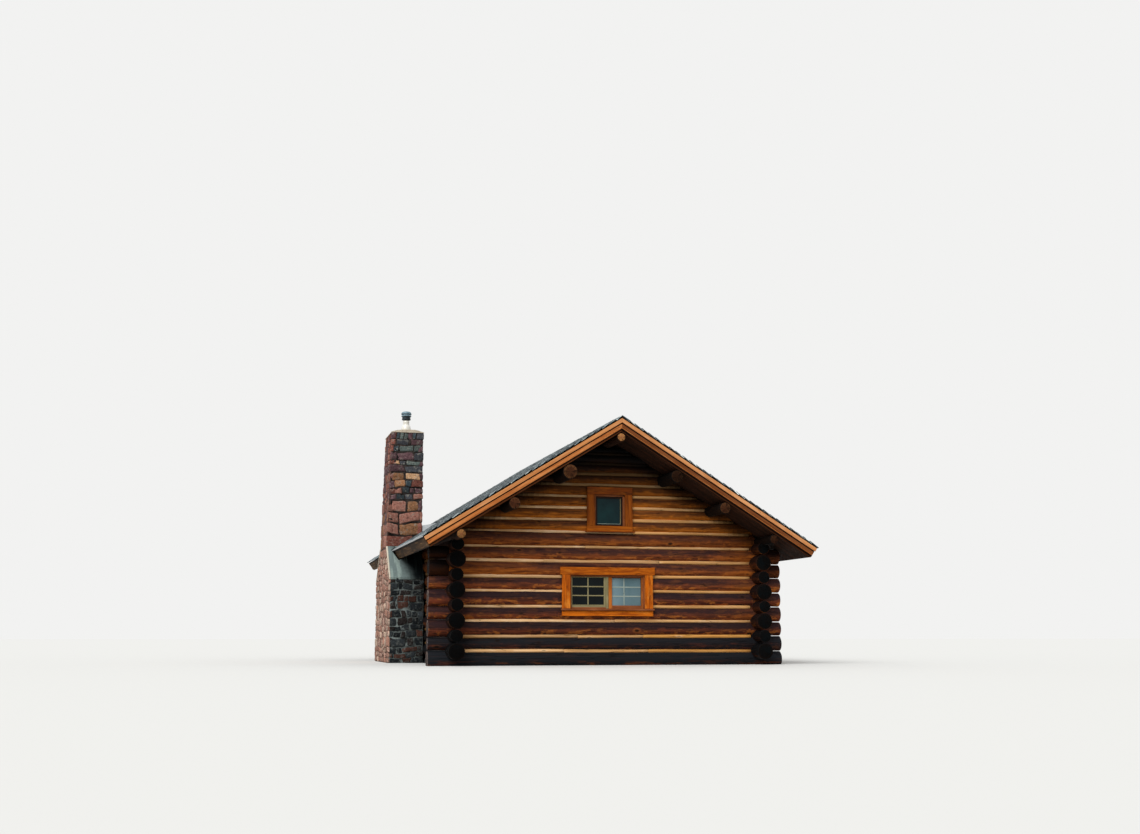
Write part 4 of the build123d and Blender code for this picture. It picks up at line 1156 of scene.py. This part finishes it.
# Sash members of each window: widths, and finishes (khaki, brown, orange, pale bar, dark) of the left, right, foot
# and top ones
sashLooks = {
    "leftPair": {"left": 0.020, "right": 0.036, "top": 0.016, "foot": 0.068, "finish": (0, 0, 0, 0), "bar": 0,
                 "ledge": 0.024, "edge": 0.0, "shift": 0.0, "pane": 0},
    "rightPair": {"left": 0.068, "right": 0.030, "top": 0.018, "foot": 0.056, "finish": (2, 1, 1, 1), "bar": 3,
                  "ledge": 0.0, "edge": 0.018, "shift": -0.040, "pane": 1},
    "single": {"left": 0.032, "right": 0.032, "top": 0.030, "foot": 0.034, "finish": (4, 4, 4, 4), "bar": None,
               "highlightStrip": 0.010, "pane": 2},
}


def addSash(pile, panes, wall, a0, a1, low, high, face, look, rng):
    back = face - joinery["sash"]

    def strip(x0, x1, z0, z1, upright, finish, near=back, far=face):
        wallBoard(pile, wall, x0, x1, near, far, z0, z1, upright, bevel=0.002, look=finish, seed=rng.uniform(0, 99))

    x0, x1 = a0 + look["left"], a1 - look["right"]
    z0, z1 = low + look["foot"], high - look["top"]
    uprights = ((a0, x0, low, high, True), (x1, a1, low, high, True))
    rails = ((x0, x1, low, z0, False), (x0, x1, z1, high, False))
    for member, finish in zip(uprights + rails, look["finish"]):
        strip(*member, finish)
    if look["bar"] is None:
        # pale strips along the foot and the right side, painted highlights where these inner edges catch the light
        strip(x0, x1, z0, z0 + look["highlightStrip"], False, 3, back + 0.010, face - 0.004)
        strip(x1 - look["highlightStrip"], x1, z0, z1, True, 0, back + 0.010, face - 0.003)
    else:
        if look["ledge"]:
            strip(a0, a1, low, low + look["ledge"], False, 1, back, face + 0.003)
        if look["edge"]:
            strip(a1 - look["edge"], a1, low, high, True, 2, back, face + 0.002)
        middle = (x0 + x1) / 2 + look["shift"]
        half = joinery["bar"] / 2
        front = face - 0.005 if look["bar"] == 0 else back + 0.018
        strip(middle - half, middle + half, z0, z1, True, look["bar"], back + 0.008, front)
        for k in (1, 2):
            z = z0 + (z1 - z0) * k / 3
            strip(x0, x1, z - half, z + half, False, look["bar"], back + 0.009, front - 0.001)
    pane = panes.cube((x1 - x0 + 0.006, 0.004, z1 - z0 + 0.006), (0, 0, 0))
    panes.add(pane, wall.basis((x0 + x1) / 2, back + 0.012, (z0 + z1) / 2), look=look["pane"])


def buildOpenings():
    rng = random.Random(8)
    casings = Pile("windowCasings", "casing", "orange_casing", "window_casings")
    highCasings = Pile("gableWindowCasings", "gableCasing", "brown_casing", "gable_window_casings")
    doorCasing = Pile("doorCasing", "casing", "orange_casing", "door_casing")
    sills = Pile("windowSills", "sashBrown gableCasing", "brown_casing", "window_sills")
    frames = Pile("windowFrames", "sashBrown sashKhaki", "brown_casing", "window_frames")
    sashes = Pile("windowSashes", "sashKhaki sashBrown sashOrange muntin sashDark", "sash_wood", "window_sashes")
    panes = Pile("windowPanes", "windowGlass windowScreen gableGlass", "glass", "window_glass")
    flat, face = joinery["flat"], joinery["flat"] + joinery["casing"]
    joint, post = joinery["joint"], joinery["mullion"] / 2
    for wallName in ("front", "back", "right"):
        wall = walls[wallName]

        def piece(pile, a0, a1, o0, o1, z0, z1, share=1.0, **more):
            wallBoard(pile, wall, a0, a1, o0, o1, z0, z1, tint=share * rng.uniform(0.93, 1.06),
                      seed=rng.uniform(0, 99), **more)

        def uprights(pile, m, near, far, *sizes, **more):
            for side in (-1, 1):
                piece(pile, *sorted((m + side * near, m + side * far)), *sizes, upright=True, **more)

        for item in openings[wallName]:
            kind, m, half, low, high = item["kind"], item["middle"], item["width"] / 2, item["low"], item["high"]
            size, pair = casingSize[kind], kind == "pair"
            pile = {"pair": casings, "single": highCasings, "door": doorCasing}[kind]
            edge = half + size["side"]
            head = edge + size["ear"]
            piece(pile, m - head, m + head, flat, face, high, high + size["head"], share=0.84, hue=float(pair))
            uprights(pile, m, half, edge, flat, face, low, high - joint, hue=0.35)
            if kind == "door":
                continue
            sillTop = low if pair else low - size["apron"]
            apronTop = low - size["sill"] if pair else low
            over = edge + size["over"]
            piece(sills, m - over, m + over, flat, face + joinery["sillOut"], sillTop - size["sill"], sillTop - joint,
                  look=0 if pair else 1)
            piece(pile, m - edge, m + edge, flat, face, apronTop - size["apron"] + joint, apronTop - joint, hue=1.0)
            inner = half - joinery["reveal"]
            outer = inner + joinery["frame"]
            top = high - joinery["reveal"]
            for z in (top, low - joinery["frame"]):
                piece(frames, m - outer, m + outer, -flat, flat, z, z + joinery["frame"])
            uprights(frames, m, inner, outer, -flat, flat, low, top)
            spans = [(m - inner, m + inner, "single")]
            if pair:
                piece(frames, m - post, m + post, -flat, flat - joinery["mullionBack"], low, top, upright=True, look=1)
                spans = [(m - inner, m - post, "leftPair"), (m + post, m + inner, "rightPair")]
            for a0, a1, name in spans:
                addSash(sashes, panes, wall, a0, a1, low, top, flat - joinery["setback"], sashLooks[name], rng)
    for pile in (casings, highCasings, doorCasing, sills, frames, sashes):
        pile.done(30)
    panes.done(0)


buildOpenings()


# Sheet metal: dull along the eave with a bright drip edge, and pale round the stack
def buildSheets():
    pile = Pile("roofSheets", "dullSheet paleSheet", "sheet_metal", "roof_flashing")
    low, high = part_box("chimney_stack")
    pile.add(pile.start("roof_flashing"), look=lambda middle: 1 if middle.x > high.x - 0.02 else 0)
    length = slopeRun(-1) / slopeCos + roof["overhang"] / slopeCos
    slopeBoard(pile, -1, length - 0.012, 0.0118, roof["front"] + roof["edge"], low.y - 0.006, -0.0363, -0.012,
               bevel=0.0, look=1)
    pile.done(30)


buildSheets()


# CAD nodes that keep their shape take a finish: their grain follows the object's own axes
def nodeWood(name, colors, *scale):
    dark, mid, light = colors.split()
    paint = Paint(name, 0.8, Specular_IOR_Level=0.1)
    place = paint.place()
    streaks, fibres, spots = [paint.noise(paint.stretch(place, *[s * more for s in scale]), 1.0, detail, rough)
                              for more, detail, rough in ((1, 5.0, 0.6), (14, 3.0, 0.6), (3, 4.0, 0.7))]
    color = paint.cover(dark, (streaks.step(0.35, 0.65), mid), (spots.step(0.52, 0.66) * 0.7, light))
    return paint.finish(color, 0.7 + 0.6 * fibres, streaks + fibres * 0.4, 0.002)


nodeFinishes = (
    (nodeWood("sillLogWood", "101418 1c1e20 2c2624", 9.0, 0.7, 9.0), "side_sill_logs"),
    (nodeWood("deckWood", "0e0805 1f110b 321c11", 0.7, 9.0), "left_roof_boards right_roof_boards rafters"),
    (nodeWood("floorWood", "4a3422 6d5036 8a6a4a", 0.8, 9.0), "floor_sleepers room_floor loft_joists loft_floor"),
    (nodeWood("fasciaWood", "2c2016 5a432e 94704a", 9.0, 0.7, 12.0), "eave_fascias"),
    (nodeWood("doorFrameWood", "6c3a1e 945632 aa6c46", 9.0, 9.0, 0.8), "door_frame"),
    (nodeWood("doorWood", "4d1f14 74321f 94492c", 9.0, 9.0, 0.8), "door_leaf"),
    (finishes["blackIron"], "door_hardware"), (finishes["cement"], "chimney_shoulders"),
    (finishes["crownMortar"], "chimney_crown"),
)
for finish, names in nodeFinishes:
    for node in names.split():
        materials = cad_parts[node].data.materials
        materials.clear()
        materials.append(finish)
print("finishes on CAD nodes:", len(nodeFinishes))


# Stage, light and camera
stage = {"floor": 400.0, "floorSeen": "dfdfdc", "floorLit": "8f8d88", "worldSeen": "f2f2f1", "sunStrength": 2.3,
         "skyStrength": 0.72, "sunFrom": (-0.62, -0.72, 0.80), "sunAngle": 40.0}
view = {"place": (-6.643, -23.966, 0.506), "pitch": 8.88, "yaw": 13.94, "lens": 44.21, "sensor": 36.0, "far": 900.0}


def seenByEye(tree):
    # 1 for what the camera, a reflection or a pane shows, 0 for light that falls on the object
    path = tree.nodes.new("ShaderNodeLightPath")
    total = path.outputs["Is Camera Ray"]
    for key in ("Is Glossy Ray", "Is Transmission Ray"):
        add = tree.nodes.new("ShaderNodeMath")
        add.operation = "MAXIMUM"
        tree.links.new(total, add.inputs[0])
        tree.links.new(path.outputs[key], add.inputs[1])
        total = add.outputs[0]
    return total


floorMesh = bpy.data.meshes.new("stageFloor")
floorBm = bmesh.new()
bmesh.ops.create_grid(floorBm, x_segments=1, y_segments=1, size=stage["floor"] / 2)
floorBm.to_mesh(floorMesh)
floorBm.free()
floor = putIn("stageFloor", floorMesh)
floor.location.z = -0.001
paint = Paint("stagePale", 0.95, Specular_IOR_Level=0.0)
paint.set("Base Color", paint.mix(Sig(paint, seenByEye(paint.tree)), stage["floorLit"], stage["floorSeen"]))
floorMesh.materials.append(paint.material)

scene.world = bpy.data.worlds.new("studio")
scene.world.use_nodes = True
tree = scene.world.node_tree
tree.nodes.clear()
pick = tree.nodes.new("ShaderNodeMixShader")
for number, color, strength in ((1, "ffffff", stage["skyStrength"]), (2, stage["worldSeen"], 1.0)):
    light = tree.nodes.new("ShaderNodeBackground")
    light.inputs["Color"].default_value = hexColor(color)
    light.inputs["Strength"].default_value = strength
    tree.links.new(light.outputs[0], pick.inputs[number])
tree.links.new(seenByEye(tree), pick.inputs[0])
tree.links.new(pick.outputs[0], tree.nodes.new("ShaderNodeOutputWorld").inputs["Surface"])

sunData = bpy.data.lights.new("softSun", "SUN")
sunData.energy = stage["sunStrength"]
sunData.angle = math.radians(stage["sunAngle"])
putIn("softSun", sunData).rotation_euler = Vector(stage["sunFrom"]).to_track_quat("Z", "Y").to_euler()

cameraData = bpy.data.cameras.new("camera")
cameraData.sensor_width = view["sensor"]
cameraData.lens = view["lens"]
cameraData.clip_end = view["far"]
camera = putIn("camera", cameraData)
camera.location = view["place"]
camera.rotation_euler = (math.radians(90 + view["pitch"]), 0.0, -math.radians(view["yaw"]))
scene.camera = camera
scene.view_settings.view_transform = "Standard"
